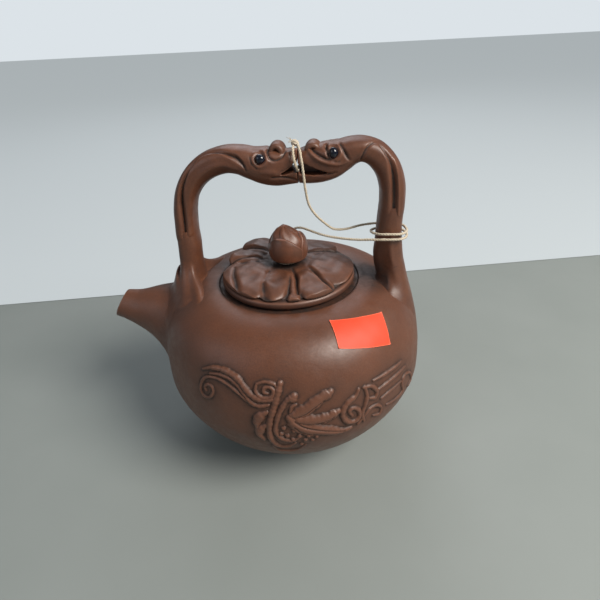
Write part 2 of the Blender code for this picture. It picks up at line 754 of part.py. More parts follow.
def build_leaf(material):
    """Puffed leaf with folds between its lobes, as one ring-shaped slab round the vent."""
    hole = VENT_RADIUS + LUTE_GAP
    hole_share = hole / LEAF_RADIUS
    turns = [360.0 * step / LEAF_STEPS for step in range(LEAF_STEPS)]
    edges = [LEAF_RADIUS * (1.0 - NOTCH_SHARE * fold_at(turn, NOTCH_SPREAD_DEG)) for turn in turns]
    rows = [[leaf_point(turn, hole, LEAF_BASE + leaf_height(turn, hole_share)) for turn in turns]]
    for reach in LEAF_REACH_SHARES:
        row = []
        for turn, edge in zip(turns, edges):
            row.append(leaf_point(turn, edge * reach, LEAF_BASE + leaf_height(turn, reach)))
        rows.append(row)
    rim_level = LEAF_BASE + LEAF_EDGE * LEAF_RIM_SHARE - LEAF_DISH
    rows.append([leaf_point(turn, edge, rim_level) for turn, edge in zip(turns, edges)])
    for reach in LEAF_UNDER_SHARES:
        level = LEAF_BASE - LEAF_DISH * reach ** 2
        rows.append([leaf_point(turn, edge * reach, level) for turn, edge in zip(turns, edges)])
    rows.append([leaf_point(turn, hole, LEAF_BASE) for turn in turns])
    points = [point for row in rows for point in row]
    faces = []
    for index in range(len(rows)):
        following = (index + 1) % len(rows)
        faces += ring_faces(index * LEAF_STEPS, LEAF_STEPS, following * LEAF_STEPS)
    return add_piece("lotus_leaf", points, faces, material)


BUD_SHARES = (
    # radius share, height share
    (0.50, 0.00),
    (0.80, 0.09),
    (0.96, 0.24),
    (1.00, 0.38),
    (0.94, 0.54),
    (0.78, 0.70),
    (0.54, 0.85),
    (0.26, 0.95),
    (0.00, 1.00),
)


def build_knob(neck_material, bud_material):
    profile = [(VENT_RADIUS, NECK_BASE), (NECK_RADIUS, NECK_BASE)]
    profile += [(NECK_RADIUS, NECK_BASE + NECK_HEIGHT), (VENT_RADIUS, NECK_BASE + NECK_HEIGHT)]
    add_piece("knob_neck", *turned(profile, 20), neck_material)
    profile = [(BUD_RADIUS * radius, BUD_BASE + BUD_HEIGHT * height) for radius, height in BUD_SHARES]
    add_piece("knob_bud", *turned([(0.0, BUD_BASE)] + profile, 24), bud_material)


# Each petal: middle direction in degrees, half spread in degrees, height share that it reaches
PETAL_SHARES = (
    ("knob_petal_front", 252.0, 62.0, 0.90),
    ("knob_petal_right", 15.0, 54.0, 0.84),
    ("knob_petal_back", 132.0, 54.0, 0.88),
)


def bud_radius(height_share):
    heights = [row[1] for row in BUD_SHARES]
    radii = [row[0] for row in BUD_SHARES]
    return BUD_RADIUS * float(np.interp(height_share, heights, radii))


PETAL_ACROSS_SHARES = (-1.0, -0.66, -0.33, 0.0, 0.33, 0.66, 1.0)
PETAL_TAPER_POWER = 2.2
PETAL_EDGE_SHARE = 0.4


def build_petal(name, middle_deg, spread_deg, top_share, material):
    """Thin petal laid on the bud, widest low down and pointed at its top."""
    rings = []
    for step in range(PETAL_ROWS + 1):
        climb = step / PETAL_ROWS
        height_share = PETAL_START_SHARE + (top_share - PETAL_START_SHARE) * climb
        spread = spread_deg * max(math.sqrt(1.0 - climb ** PETAL_TAPER_POWER), PETAL_TIP_SHARE)
        radius = bud_radius(height_share) + LUTE_GAP
        level = BUD_BASE + BUD_HEIGHT * height_share
        outer = []
        inner = []
        for across in PETAL_ACROSS_SHARES:
            crown = PETAL_THICKNESS * (1.0 - (1.0 - PETAL_EDGE_SHARE) * across ** 2)
            outer.append(leaf_point(middle_deg + spread * across, radius + crown, level))
            inner.append(leaf_point(middle_deg + spread * across, radius, level))
        rings.append(outer + inner[::-1])
    add_piece(name, *lofted(rings), material)


# Applied ornament, drawn flat in shares of its reach and then laid on the belly

WALK_FINENESS = 10


def body_walk():
    """Places along the body's outer curve from the foot up, with the arc length from the widest level."""
    places = belly_profile(LOWER_ROWS * WALK_FINENESS, UPPER_ROWS * WALK_FINENESS)
    lengths = [0.0]
    for before, after in zip(places, places[1:]):
        lengths.append(lengths[-1] + math.hypot(after[0] - before[0], after[1] - before[1]))
    widest = float(np.interp(BELLY_LEVEL, [place[1] for place in places], lengths))
    return places, [length - widest for length in lengths]


WALK_PLACES, WALK_LENGTHS = body_walk()


def body_curve(climb):
    radius = float(np.interp(climb, WALK_LENGTHS, [place[0] for place in WALK_PLACES]))
    level = float(np.interp(climb, WALK_LENGTHS, [place[1] for place in WALK_PLACES]))
    return radius, level


def body_place(turn, climb, lift):
    """Point over the body, at a turn in radians from the front and an arc length up from the widest level."""
    step = WALL / 4.0
    radius, level = body_curve(climb)
    below = body_curve(climb - step)
    above = body_curve(climb + step)
    run = Vector((above[0] - below[0], above[1] - below[1])).normalized()
    radius += run[1] * lift
    level -= run[0] * lift
    return Vector((radius * math.sin(turn), -radius * math.cos(turn), level))


STRIP_SHARES = ((-1.0, 0.0), (-0.66, 0.74), (0.0, 1.0), (0.66, 0.74), (1.0, 0.0))
BLADE_SHARES = (
    (-1.0, 0.0), (-0.7, 0.8), (-0.12, 1.0), (0.0, 0.62), (0.12, 1.0), (0.7, 0.8), (1.0, 0.0), (0.0, 0.0))


def build_strip(name, path_shares, half_width, section_shares, facing_turn, material):
    """Strip of clay along a smooth path, whose rows are shares across, up and of the width."""
    rows = smooth_rows(path_shares, 2)
    rings = []
    for index, row in enumerate(rows):
        before = rows[max(index - 1, 0)]
        after = rows[min(index + 1, len(rows) - 1)]
        along = Vector((after[0] - before[0], after[1] - before[1])).normalized()
        ring = []
        for side_share, lift_share in section_shares:
            reach = half_width * row[2] * side_share
            across = ORNAMENT_REACH * row[0] - along[1] * reach
            climb = ORNAMENT_REACH * row[1] + along[0] * reach
            lift = LUTE_GAP + ORNAMENT_HEIGHT * lift_share * min(row[2], 1.0) ** 0.5
            ring.append(body_place(facing_turn + across / BELLY_RADIUS, climb, lift))
        rings.append(ring)
    return add_piece(name, *lofted(rings), material)


ORNAMENT_SHARES = (
    ("upper_tendril", STEM_HALF_WIDTH, STRIP_SHARES, (
        (-0.517, 0.415, 0.40), (-0.425, 0.450, 0.85), (-0.328, 0.431, 1.0), (-0.220, 0.365, 1.0),
        (-0.149, 0.288, 1.0), (-0.092, 0.252, 0.9), (-0.047, 0.249, 0.5))),
    ("lower_tendril", CURL_HALF_STRIP, STRIP_SHARES, (
        (-0.176, 0.221, 0.5), (-0.241, 0.297, 1.0), (-0.322, 0.361, 1.0), (-0.408, 0.382, 1.0),
        (-0.490, 0.365, 1.0), (-0.541, 0.315, 1.0), (-0.531, 0.249, 1.0), (-0.475, 0.210, 1.0),
        (-0.417, 0.231, 1.0), (-0.413, 0.289, 0.9), (-0.460, 0.297, 0.6))),
    ("small_curl", CURL_HALF_STRIP, STRIP_SHARES, (
        (-0.124, 0.394, 0.5), (-0.124, 0.347, 1.0), (-0.079, 0.306, 1.0), (-0.026, 0.324, 1.0),
        (-0.027, 0.375, 0.9), (-0.071, 0.377, 0.6))),
    ("outer_scroll", STEM_HALF_WIDTH, STRIP_SHARES, (
        (0.020, 0.432, 0.6), (0.041, 0.356, 1.0), (0.028, 0.265, 1.0), (-0.001, 0.152, 1.0),
        (-0.007, 0.036, 1.0), (0.023, -0.069, 1.0), (0.088, -0.138, 0.9), (0.152, -0.152, 0.5))),
    ("inner_scroll", STEM_HALF_WIDTH, STRIP_SHARES, (
        (0.134, 0.342, 0.9), (0.103, 0.324, 1.25), (0.079, 0.265, 0.75), (0.062, 0.192, 0.7),
        (0.048, 0.101, 0.7), (0.057, 0.016, 0.7), (0.097, -0.056, 0.7), (0.161, -0.084, 0.45))),
    ("side_lobe", STEM_HALF_WIDTH, STRIP_SHARES, (
        (-0.050, 0.188, 0.5), (-0.083, 0.143, 1.2), (-0.095, 0.074, 1.3), (-0.071, 0.008, 0.6))),
    ("upper_blade", BLADE_HALF_WIDTH, BLADE_SHARES, (
        (0.099, 0.215, 0.35), (0.149, 0.238, 0.75), (0.215, 0.267, 0.92), (0.276, 0.297, 0.75),
        (0.327, 0.320, 0.45))),
    ("lower_blade", BLADE_HALF_WIDTH, BLADE_SHARES, (
        (0.110, 0.124, 0.35), (0.165, 0.110, 0.85), (0.234, 0.075, 1.0), (0.309, 0.030, 0.75),
        (0.379, -0.003, 0.30))),
    ("leaf_bud", STEM_HALF_WIDTH, STRIP_SHARES, (
        (0.264, 0.188, 0.5), (0.299, 0.170, 1.0), (0.339, 0.152, 0.8))),
    ("right_curl", CURL_HALF_STRIP, STRIP_SHARES, (
        (0.506, 0.315, 0.7), (0.489, 0.243, 1.1), (0.430, 0.198, 1.2), (0.391, 0.138, 1.2),
        (0.400, 0.078, 1.2), (0.450, 0.050, 1.2), (0.503, 0.078, 1.1), (0.504, 0.139, 1.0),
        (0.457, 0.148, 0.7))),
    ("far_curl", CURL_HALF_STRIP, STRIP_SHARES, (
        (0.613, 0.292, 0.7), (0.583, 0.225, 1.1), (0.603, 0.159, 1.1), (0.671, 0.139, 1.1),
        (0.715, 0.089, 1.1), (0.699, 0.027, 1.1), (0.648, 0.010, 1.0), (0.620, 0.056, 0.7))),
    ("long_leaf", STEM_HALF_WIDTH, STRIP_SHARES, (
        (0.654, 0.342, 0.5), (0.767, 0.359, 1.1), (0.889, 0.329, 1.1), (0.975, 0.300, 0.4))),
    ("edge_curl", CURL_HALF_STRIP, STRIP_SHARES, (
        (0.699, 0.261, 0.6), (0.814, 0.251, 1.1), (0.947, 0.194, 1.1), (1.035, 0.140, 1.1),
        (1.080, 0.065, 1.1), (1.055, 0.000, 1.0), (1.000, 0.020, 0.7))),
    ("bud_sprig", STEM_HALF_WIDTH, STRIP_SHARES, (
        (0.126, 0.035, 0.3), (0.141, 0.021, 0.8), (0.166, -0.000, 0.35), (0.193, -0.021, 0.8),
        (0.220, -0.036, 0.35), (0.250, -0.050, 0.8), (0.268, -0.057, 0.3))),
)


def build_ornament(side, facing_turn):
    for label, half_width, section_shares, path_shares in ORNAMENT_SHARES:
        name = side + "_" + label
        material = clay_material(name + "_clay", CLAY)
        build_strip(name, path_shares, half_width, section_shares, facing_turn, material)


# Label

def build_label(material):
    """Paper label stuck on the shoulder, bent to it."""
    tilt = math.radians(LABEL_TILT_DEG)
    columns, rows = LABEL_GRID
    layers = []
    for lift in (LUTE_GAP, LUTE_GAP + LABEL_THICKNESS):
        layer = []
        for row in range(rows):
            for column in range(columns):
                across = LABEL_WIDTH * (column / (columns - 1) - 0.5)
                up = LABEL_HEIGHT * (row / (rows - 1) - 0.5)
                climb = LABEL_CLIMB + across * math.sin(tilt) + up * math.cos(tilt)
                aside = across * math.cos(tilt) - up * math.sin(tilt)
                turn = math.radians(LABEL_TURN_DEG) + aside / body_curve(climb)[0]
                layer.append(body_place(turn, climb, lift))
        layers.append(layer)
    points = layers[0] + layers[1]
    count = rows * columns
    faces = []
    for row in range(rows - 1):
        for column in range(columns - 1):
            corner = row * columns + column
            faces.append((corner, corner + 1, corner + columns + 1, corner + columns))
            outside = (corner, corner + columns, corner + columns + 1, corner + 1)
            faces.append(tuple(index + count for index in outside))
    edge = list(range(columns)) + [row * columns + columns - 1 for row in range(1, rows)]
    edge += [count - 1 - column for column in range(1, columns)]
    edge += [row * columns for row in range(rows - 2, 0, -1)]
    for here, there in zip(edge, edge[1:] + edge[:1]):
        faces.append((here, there, there + count, here + count))
    return add_piece("paper_label", points, faces, material)


# String. The routes are the string's own, read off how it hangs and wraps

TOP_LOOP_ROUTE = (
    (0.0054, 0.0022, 0.1301), (0.0056, 0.0046, 0.1292), (0.0060, 0.0066, 0.1264),
    (0.0064, 0.0068, 0.1236), (0.0066, 0.0052, 0.1219), (0.0066, 0.0020, 0.1216),
    (0.0066, -0.0020, 0.1216), (0.0066, -0.0052, 0.1219), (0.0062, -0.0068, 0.1238),
    (0.0056, -0.0067, 0.1264), (0.0052, -0.0046, 0.1290), (0.0052, -0.0026, 0.1299),
)
DROP_ROUTE = (
    (0.0068, -0.0026, 0.1304), (0.0076, -0.0050, 0.1290), (0.0082, -0.0068, 0.1264),
    (0.0086, -0.0074, 0.1237), (0.0090, -0.0075, 0.1192), (0.0093, -0.0070, 0.1152),
    (0.0102, -0.0052, 0.1089), (0.0125, -0.0030, 0.1039), (0.0158, -0.0010, 0.0997),
    (0.0188, 0.0005, 0.0968), (0.0215, 0.0020, 0.0957), (0.0242, 0.0035, 0.0953),
    (0.0270, 0.0050, 0.0954), (0.0300, 0.0065, 0.0956), (0.0340, 0.0078, 0.0957),
    (0.0380, 0.0083, 0.0958), (0.0425, 0.0081, 0.0960), (0.0462, 0.0058, 0.0962),
    (0.0477, 0.0010, 0.0965), (0.0472, -0.0038, 0.0969), (0.0446, -0.0072, 0.0974),
    (0.0408, -0.0080, 0.0977), (0.0370, -0.0072, 0.0974), (0.0346, -0.0038, 0.0966),
    (0.0340, 0.0005, 0.0956), (0.0347, 0.0046, 0.0945), (0.0370, 0.0074, 0.0940),
    (0.0410, 0.0082, 0.0939), (0.0455, 0.0066, 0.0940), (0.0478, 0.0022, 0.0943),
    (0.0475, -0.0030, 0.0947), (0.0452, -0.0068, 0.0952), (0.0412, -0.0080, 0.0955),
    (0.0374, -0.0077, 0.0954),
)
LID_RUN_ROUTE = (
    (0.0366, -0.0075, 0.0953), (0.0330, -0.0064, 0.0949), (0.0294, -0.0053, 0.0944),
    (0.0255, -0.0040, 0.0941), (0.0216, -0.0026, 0.0940), (0.0176, -0.0010, 0.0940),
    (0.0134, 0.0010, 0.0943), (0.0094, 0.0034, 0.0948), (0.0060, 0.0060, 0.0949),
    (0.0032, 0.0078, 0.0941), (0.0014, 0.0088, 0.0922), (0.0004, 0.0091, 0.0894),
    (0.0001, 0.0086, 0.0868), (0.0000, 0.0072, 0.0850), (0.0000, 0.0056, 0.0842),
)


def build_cord(name, places, material, closed=False):
    """Round string of even thickness through the places. Returns its length."""
    curve = bpy.data.curves.new(name, "CURVE")
    curve.dimensions = "3D"
    curve.bevel_depth = STRING_DIAMETER / 2.0
    curve.bevel_resolution = 2
    curve.use_fill_caps = True
    spline = curve.splines.new("POLY")
    spline.points.add(len(places) - 1)
    spline.use_cyclic_u = closed
    for point, place in zip(spline.points, places):
        point.co = (*place, 1.0)
    curve.materials.append(material)
    cord = bpy.data.objects.new(name, curve)
    bpy.context.scene.collection.objects.link(cord)
    return sum((after - before).length for before, after in zip(places, places[1:]))


def cord_places(route):
    return [Vector(place) for place in smooth_rows(route, 2)]


def least_gap(places):
    """Smallest free space between stretches of one string that are some diameters apart along it."""
    least = math.inf
    for index, place in enumerate(places):
        length = 0.0
        for before, after in zip(places[index:], places[index + 1:]):
            length += (after - before).length
            if length > GAP_REACH_DIAMETERS * STRING_DIAMETER:
                least = min(least, (after - place).length - STRING_DIAMETER)
    return least


def build_string():
    loop_radius = NECK_RADIUS + LUTE_GAP + STRING_DIAMETER / 2.0
    level = NECK_BASE + NECK_HEIGHT / 2.0
    ring = [leaf_point(360.0 * step / LOOP_STEPS, loop_radius, level) for step in range(LOOP_STEPS)]
    build_cord("string_knob_loop", ring, string_material("knob_loop_cotton"), closed=True)
    lengths = []
    for label, route in (("top_loop", TOP_LOOP_ROUTE), ("drop", DROP_ROUTE), ("lid_run", LID_RUN_ROUTE)):
        material = string_material(label + "_cotton")
        lengths.append(build_cord("string_" + label, cord_places(route), material))
    centre = (HEAD_JOIN_X - KNOT_OFFSET, 0.0, arch_level(KNOT_LEVEL_SHARE))
    radii = [KNOT_RADIUS * share for share in KNOT_RADII_SHARES]
    add_piece("string_knot", *rounded(centre, radii, 10, 6), string_material("knot_cotton"))
    print("string lengths, mm:", [round(length * 1000.0, 1) for length in lengths])
    gap = least_gap(cord_places(DROP_ROUTE))
    print("least gap of the turns to themselves, mm:", round(gap * 1000.0, 2))


HANDLE_PIECES = ("left_pillar", "right_pillar", "left_dragon", "right_dragon")


def build_handle(envelope):
    guide = clay_material("handle_guide", CLAY)
    trimmers = (envelope, spout_envelope(guide))
    hole = head_hole(guide)
    clay = {label: clay_material(label + "_clay", CLAY) for label in HANDLE_PIECES}
    build_pillar("left_pillar", LEFT_PILLAR_SHARES, 1.0, clay["left_pillar"], trimmers)
    build_pillar("right_pillar", RIGHT_PILLAR_SHARES, -1.0, clay["right_pillar"], (envelope,))
    build_dragon("left_dragon", LEFT_DRAGON_SHARES, 1.0, clay["left_dragon"], hole)
    build_dragon("right_dragon", RIGHT_DRAGON_SHARES, -1.0, clay["right_dragon"], hole)
    build_curls_and_eyes()


def build_lid():
    build_lid_disc(clay_material("lid_disc_clay", CLAY))
    build_flange(clay_material("lid_flange_clay", CLAY))
    build_leaf(clay_material("lotus_leaf_clay", CLAY))
    build_knob(clay_material("knob_neck_clay", CLAY_DARK), clay_material("knob_bud_clay", CLAY))
    for name, middle, spread, top in PETAL_SHARES:
        build_petal(name, middle, spread, top, clay_material(name + "_clay", CLAY))


def main():
    for item in list(bpy.data.objects):
        bpy.data.objects.remove(item, do_unlink=True)
    envelope = body_envelope(clay_material("body_guide", CLAY))
    build_body(clay_material("body_shell_clay", CLAY))
    build_foot(clay_material("foot_disc_clay", CLAY_DARK))
    build_spout(clay_material("spout_clay", CLAY), envelope)
    build_handle(envelope)
    build_lid()
    for side, facing_turn in (("front", 0.0), ("back", math.pi)):
        build_ornament(side, facing_turn)
    build_label(label_material("orange_paper"))
    build_string()


main()
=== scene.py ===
"""Small unglazed stoneware teapot: a squat pot with a short spout, a fixed handle of two dragons that meet over
a loose lotus-leaf lid, a cotton tie string and a bare paper label. Metres, +Z up, spout to -X, front to -Y.
"""
import math

import bmesh
import bpy
import numpy as np
from mathutils import Matrix, Vector
from mathutils.bvhtree import BVHTree


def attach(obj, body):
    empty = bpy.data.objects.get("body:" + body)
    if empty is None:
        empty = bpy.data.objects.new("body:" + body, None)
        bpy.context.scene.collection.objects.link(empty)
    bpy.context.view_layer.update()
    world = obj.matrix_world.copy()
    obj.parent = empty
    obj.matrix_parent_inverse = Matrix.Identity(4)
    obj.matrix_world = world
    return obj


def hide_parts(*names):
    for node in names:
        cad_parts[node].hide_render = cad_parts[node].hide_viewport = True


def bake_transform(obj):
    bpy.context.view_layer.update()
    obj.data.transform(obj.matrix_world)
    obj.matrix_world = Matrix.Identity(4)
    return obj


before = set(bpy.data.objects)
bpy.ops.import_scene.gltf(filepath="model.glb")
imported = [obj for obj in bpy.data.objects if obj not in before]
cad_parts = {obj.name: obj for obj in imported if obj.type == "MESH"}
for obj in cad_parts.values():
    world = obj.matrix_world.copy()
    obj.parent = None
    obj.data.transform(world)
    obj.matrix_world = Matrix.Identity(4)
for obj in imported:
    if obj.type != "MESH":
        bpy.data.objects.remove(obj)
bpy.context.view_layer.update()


# ---------------------------------------------------------------------------------------------------------
# Pot wall
# Brown stoneware, raised and beaten round by hand, with a recess for the lid and a ring of strainer holes behind the
# spout. It is fired without glaze and rubbed smooth while leather hard. Dark slip and painted shade lie in its hollows,
# round the relief, the feet and the spout's root and in the lid's recess, its inside is darker, and a painted highlight
# runs along the recess's edge.

BELLY_RADIUS = 0.056
BELLY_LEVEL = 0.0392
BASE_CURVE_RADIUS = 0.0203
BASE_POWER = 1.51
SHOULDER_RADIUS = 0.0306
SHOULDER_LEVEL = 0.0757
SHOULDER_POWER = 2.6
POT_UNDERSIDE = 0.0023
WALL = 0.0030
RECESS_RADIUS = 0.0293
SEAT_LEVEL = 0.0750
MOUTH_RADIUS = 0.0218
SPOUT_ROOT_LEVEL = 0.0530
STRAINER_RADIUS = 0.0014
STRAINER_RING = 0.0046
STRAINER_COUNT = 6
WALL_COLUMNS = 480
PLAIN_ROW = 0.0012
# Rows lie closest where the relief stands, between these two climbs from the belly
RELIEF_ROW = 0.00055
RELIEF_FROM = -0.0150
RELIEF_TO = 0.0315
SHOULDER_ROW = 0.0009
# The strainer is cut only in the wall's skins further out than this, on the spout's side
STRAINER_SIDE = -0.045
OUTLINE_STEPS = 3000
CLIMB_STEPS = 1600


def pot_outline():
    """Close-set radii and levels up the outside of the pot, from the foot to the lid's recess."""
    low = np.linspace(0.0, math.pi / 2.0, OUTLINE_STEPS)
    level = BELLY_LEVEL * (1.0 - np.cos(low) ** (2.0 / BASE_POWER))
    radius = BASE_CURVE_RADIUS + (BELLY_RADIUS - BASE_CURVE_RADIUS) * np.sin(low) ** (2.0 / BASE_POWER)
    kept = level > POT_UNDERSIDE
    high = np.linspace(0.0, math.pi / 2.0, OUTLINE_STEPS)[1:]
    above = BELLY_LEVEL + (SHOULDER_LEVEL - BELLY_LEVEL) * np.sin(high) ** (2.0 / SHOULDER_POWER)
    around = SHOULDER_RADIUS + (BELLY_RADIUS - SHOULDER_RADIUS) * np.cos(high) ** (2.0 / SHOULDER_POWER)
    return np.concatenate([radius[kept], around]), np.concatenate([level[kept], above])


def evenly(values, lengths, count):
    """Values read at evenly spaced lengths."""
    return np.interp(np.linspace(lengths[0], lengths[-1], count), lengths, values)


rough_radius, rough_level = pot_outline()
rough_climb = np.concatenate([[0.0], np.cumsum(np.hypot(np.diff(rough_radius), np.diff(rough_level)))])
rough_climb -= np.interp(BELLY_LEVEL, rough_level, rough_climb)
CLIMB = evenly(rough_climb, rough_climb, CLIMB_STEPS)
CLIMB_RADIUS = evenly(rough_radius, rough_climb, CLIMB_STEPS)
CLIMB_LEVEL = evenly(rough_level, rough_climb, CLIMB_STEPS)
OUT_LEVEL = -np.gradient(CLIMB_RADIUS, CLIMB)
OUT_RADIUS = np.gradient(CLIMB_LEVEL, CLIMB)


def hand_wobble(turn, climb):
    """Slight unevenness of a pot that was beaten round by hand."""
    wide = np.sin(2.0 * turn + 0.7) * np.cos(55.0 * climb)
    close = np.sin(5.0 * turn + 90.0 * climb + 1.9)
    return 0.00010 * wide + 0.00005 * close


def on_pot(turn, climb, lift=0.0):
    """Points at a turn from the front, an arc length up from the belly and a height over the surface."""
    raised = lift + hand_wobble(turn, climb)
    radius = np.interp(climb, CLIMB, CLIMB_RADIUS) + np.interp(climb, CLIMB, OUT_RADIUS) * raised
    level = np.interp(climb, CLIMB, CLIMB_LEVEL) + np.interp(climb, CLIMB, OUT_LEVEL) * raised
    return np.stack([radius * np.sin(turn), -radius * np.cos(turn), level], axis=-1)


def grid_faces(rows, columns, round_again=True):
    """Corners of the four-sided faces of a grid of points, joined round again after its last column."""
    across = columns if round_again else columns - 1
    row, column = np.meshgrid(np.arange(rows - 1), np.arange(across), indexing="ij")
    after = (column + 1) % columns
    corners = [row * columns + column, row * columns + after]
    corners += [(row + 1) * columns + after, (row + 1) * columns + column]
    return np.stack(corners, axis=-1).reshape(-1, 4)


def closed_skin(rows):
    """Points and faces of a skin over closed rows, with a fan to a middle point at each end."""
    count, columns = rows.shape[:2]
    points = np.vstack([rows.reshape(-1, 3), rows[0].mean(axis=0), rows[-1].mean(axis=0)])
    ring = np.arange(columns)
    after = (ring + 1) % columns
    first, last = count * columns, count * columns + 1
    faces = grid_faces(count, columns).tolist()
    faces += np.stack([np.full(columns, first), after, ring], axis=-1).tolist()
    end = (count - 1) * columns
    faces += np.stack([end + ring, end + after, np.full(columns, last)], axis=-1).tolist()
    return points, faces


def softened(places, rounds=2):
    """A line of places with its corners cut round, which keeps its two ends."""
    line = np.array(places, dtype=float)
    for _ in range(rounds):
        quarter = 0.75 * line[:-1] + 0.25 * line[1:]
        three = 0.25 * line[:-1] + 0.75 * line[1:]
        middle = np.stack([quarter, three], axis=1).reshape(-1, line.shape[1])
        line = np.vstack([line[:1], middle, line[-1:]])
    return line


def turned_rows(profile, columns):
    """Rows of points for (radius, level) places turned about the pot's axis."""
    turn = np.arange(columns) * 2.0 * math.pi / columns
    table = np.array(profile, dtype=float)
    radius = table[:, :1]
    level = np.broadcast_to(table[:, 1:], (len(table), columns))
    return np.stack([radius * np.sin(turn), -radius * np.cos(turn), level], axis=-1)


def linear(code, alpha=1.0):
    """Linear colour for an sRGB hex code."""
    parts = [int(code[place:place + 2], 16) / 255.0 for place in (0, 2, 4)]
    return [((part + 0.055) / 1.055) ** 2.4 if part > 0.04045 else part / 12.92 for part in parts] + [alpha]


def add_node(tree, kind, settings=None, values=None, links=None):
    """Adds one node: its own settings, the values of its sockets and what is linked into them."""
    node = tree.nodes.new(kind)
    for name, setting in (settings or {}).items():
        setattr(node, name, setting)
    for socket, value in (values or {}).items():
        node.inputs[socket].default_value = value
    for socket, source in (links or {}).items():
        tree.links.new(source, node.inputs[socket])
    return node


def per_metre(millimetres):
    """Pattern scale for a feature of so many millimetres."""
    return 1000.0 / millimetres


def new_finish(name):
    """An empty material, with its node tree and its shader."""
    finish = bpy.data.materials.new(name)
    finish.use_nodes = True
    return finish, finish.node_tree, finish.node_tree.nodes["Principled BSDF"]


def unglazed_stoneware(name, body, warm, stain_and_shade, worn_and_highlit, roughness=0.46, pits=0.25, ripple=0.0, mottling=10.0):
    """Fired brown clay with no glaze. The eye sees a dense, faintly sandy skin with a soft, milky sheen where it was
    rubbed, warmer and darker clouds in the colour, dark slip and painted shade in the hollows, and paler worn ridges,
    the same paler colour also painting a highlight along the edge of the lid's recess."""
    finish, tree, shader = new_finish(name)
    place = add_node(tree, "ShaderNodeTexCoord").outputs["Object"]
    clouds = add_node(tree, "ShaderNodeTexNoise", values={
        "Scale": per_metre(mottling), "Detail": 5.0, "Roughness": 0.6}, links={"Vector": place})
    sand = add_node(tree, "ShaderNodeTexNoise", values={
        "Scale": per_metre(0.55), "Detail": 3.0, "Roughness": 0.65}, links={"Vector": place})
    smears = add_node(tree, "ShaderNodeTexNoise", values={
        "Scale": per_metre(3.2), "Detail": 4.0, "Roughness": 0.55, "Distortion": 0.6}, links={"Vector": place})
    tones = add_node(tree, "ShaderNodeValToRGB", links={"Fac": clouds.outputs["Fac"]})
    tones.color_ramp.elements[0].position = 0.34
    tones.color_ramp.elements[0].color = linear(body)
    tones.color_ramp.elements[1].position = 0.66
    tones.color_ramp.elements[1].color = linear(warm)
    # Sand grains in the clay are about 0.3 mm; they are drawn near twice that so that they show
    grains = add_node(tree, "ShaderNodeMapRange", values={
        "From Min": 0.35, "From Max": 0.65, "To Min": 0.82, "To Max": 1.16}, links={"Value": sand.outputs["Fac"]})
    sandy = add_node(tree, "ShaderNodeMix", {"data_type": "RGBA", "blend_type": "MULTIPLY"}, {0: 0.8}, {
        6: tones.outputs["Color"], 7: grains.outputs["Result"]})
    # The paler colour is wear on ridges and, on the pot's wall, a painted highlight
    edges = add_node(tree, "ShaderNodeAttribute", {"attribute_name": "wear_and_highlight"})
    rubbed_and_highlit = add_node(tree, "ShaderNodeMix", {"data_type": "RGBA"}, {7: linear(worn_and_highlit)}, {
        0: edges.outputs["Fac"], 6: sandy.outputs[2]})
    # The darker colour is dark slip and painted shade together, as much as each piece's values give
    hollows = add_node(tree, "ShaderNodeAttribute", {"attribute_name": "stain_and_shade"})
    patchy = add_node(tree, "ShaderNodeMapRange", values={
        "From Min": 0.30, "From Max": 0.70, "To Min": 0.62, "To Max": 1.15}, links={"Value": smears.outputs["Fac"]})
    slip_and_shade = add_node(tree, "ShaderNodeMath", {"operation": "MULTIPLY", "use_clamp": True}, links={
        0: hollows.outputs["Fac"], 1: patchy.outputs["Result"]})
    stained_and_shaded = add_node(tree, "ShaderNodeMix", {"data_type": "RGBA"}, {7: linear(stain_and_shade)}, {
        0: slip_and_shade.outputs["Value"], 6: rubbed_and_highlit.outputs[2]})
    tree.links.new(stained_and_shaded.outputs[2], shader.inputs["Base Color"])
    polish = add_node(tree, "ShaderNodeMapRange", values={
        "From Min": 0.30, "From Max": 0.70, "To Min": roughness - 0.05, "To Max": roughness + 0.08},
        links={"Value": smears.outputs["Fac"]})
    dull = add_node(tree, "ShaderNodeMath", {"operation": "MULTIPLY_ADD"}, {1: 0.22}, {
        0: slip_and_shade.outputs["Value"], 2: polish.outputs["Result"]})
    tree.links.new(dull.outputs["Value"], shader.inputs["Roughness"])
    shader.inputs["IOR"].default_value = 1.58
    skin = add_node(tree, "ShaderNodeBump", values={"Strength": pits, "Distance": 0.00006}, links={
        "Height": sand.outputs["Fac"]})
    uneven = add_node(tree, "ShaderNodeBump", values={"Strength": 0.35, "Distance": 0.00022}, links={
        "Height": smears.outputs["Fac"], "Normal": skin.outputs["Normal"]})
    last = uneven
    if ripple:
        # Faint level rings from the turntable, about 2.4 mm apart
        rings = add_node(tree, "ShaderNodeTexWave", {"bands_direction": "Z"}, {
            "Scale": per_metre(2.4) / 20.0, "Distortion": 3.0, "Detail": 2.0, "Detail Scale": 0.6},
            {"Vector": place})
        last = add_node(tree, "ShaderNodeBump", values={"Strength": ripple, "Distance": 0.00005}, links={
            "Height": rings.outputs["Fac"], "Normal": uneven.outputs["Normal"]})
    tree.links.new(last.outputs["Normal"], shader.inputs["Normal"])
    return finish


def add_piece(name, points, faces, finish, stands_for=(), body="pot", slot="brown_stoneware"):
    """Makes a smooth mesh, gives it its finish and ties it to the frame."""
    mesh = bpy.data.meshes.new(name)
    corners = faces if isinstance(faces, list) else faces.tolist()
    mesh.from_pydata(np.asarray(points).reshape(-1, 3).tolist(), [], corners)
    mesh.update()
    mesh.shade_smooth()
    mesh.materials.append(finish)
    piece = bpy.data.objects.new(name, mesh)
    bpy.context.scene.collection.objects.link(piece)
    if body:
        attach(piece, body)
    if stands_for:
        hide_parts(*stands_for)
    return piece


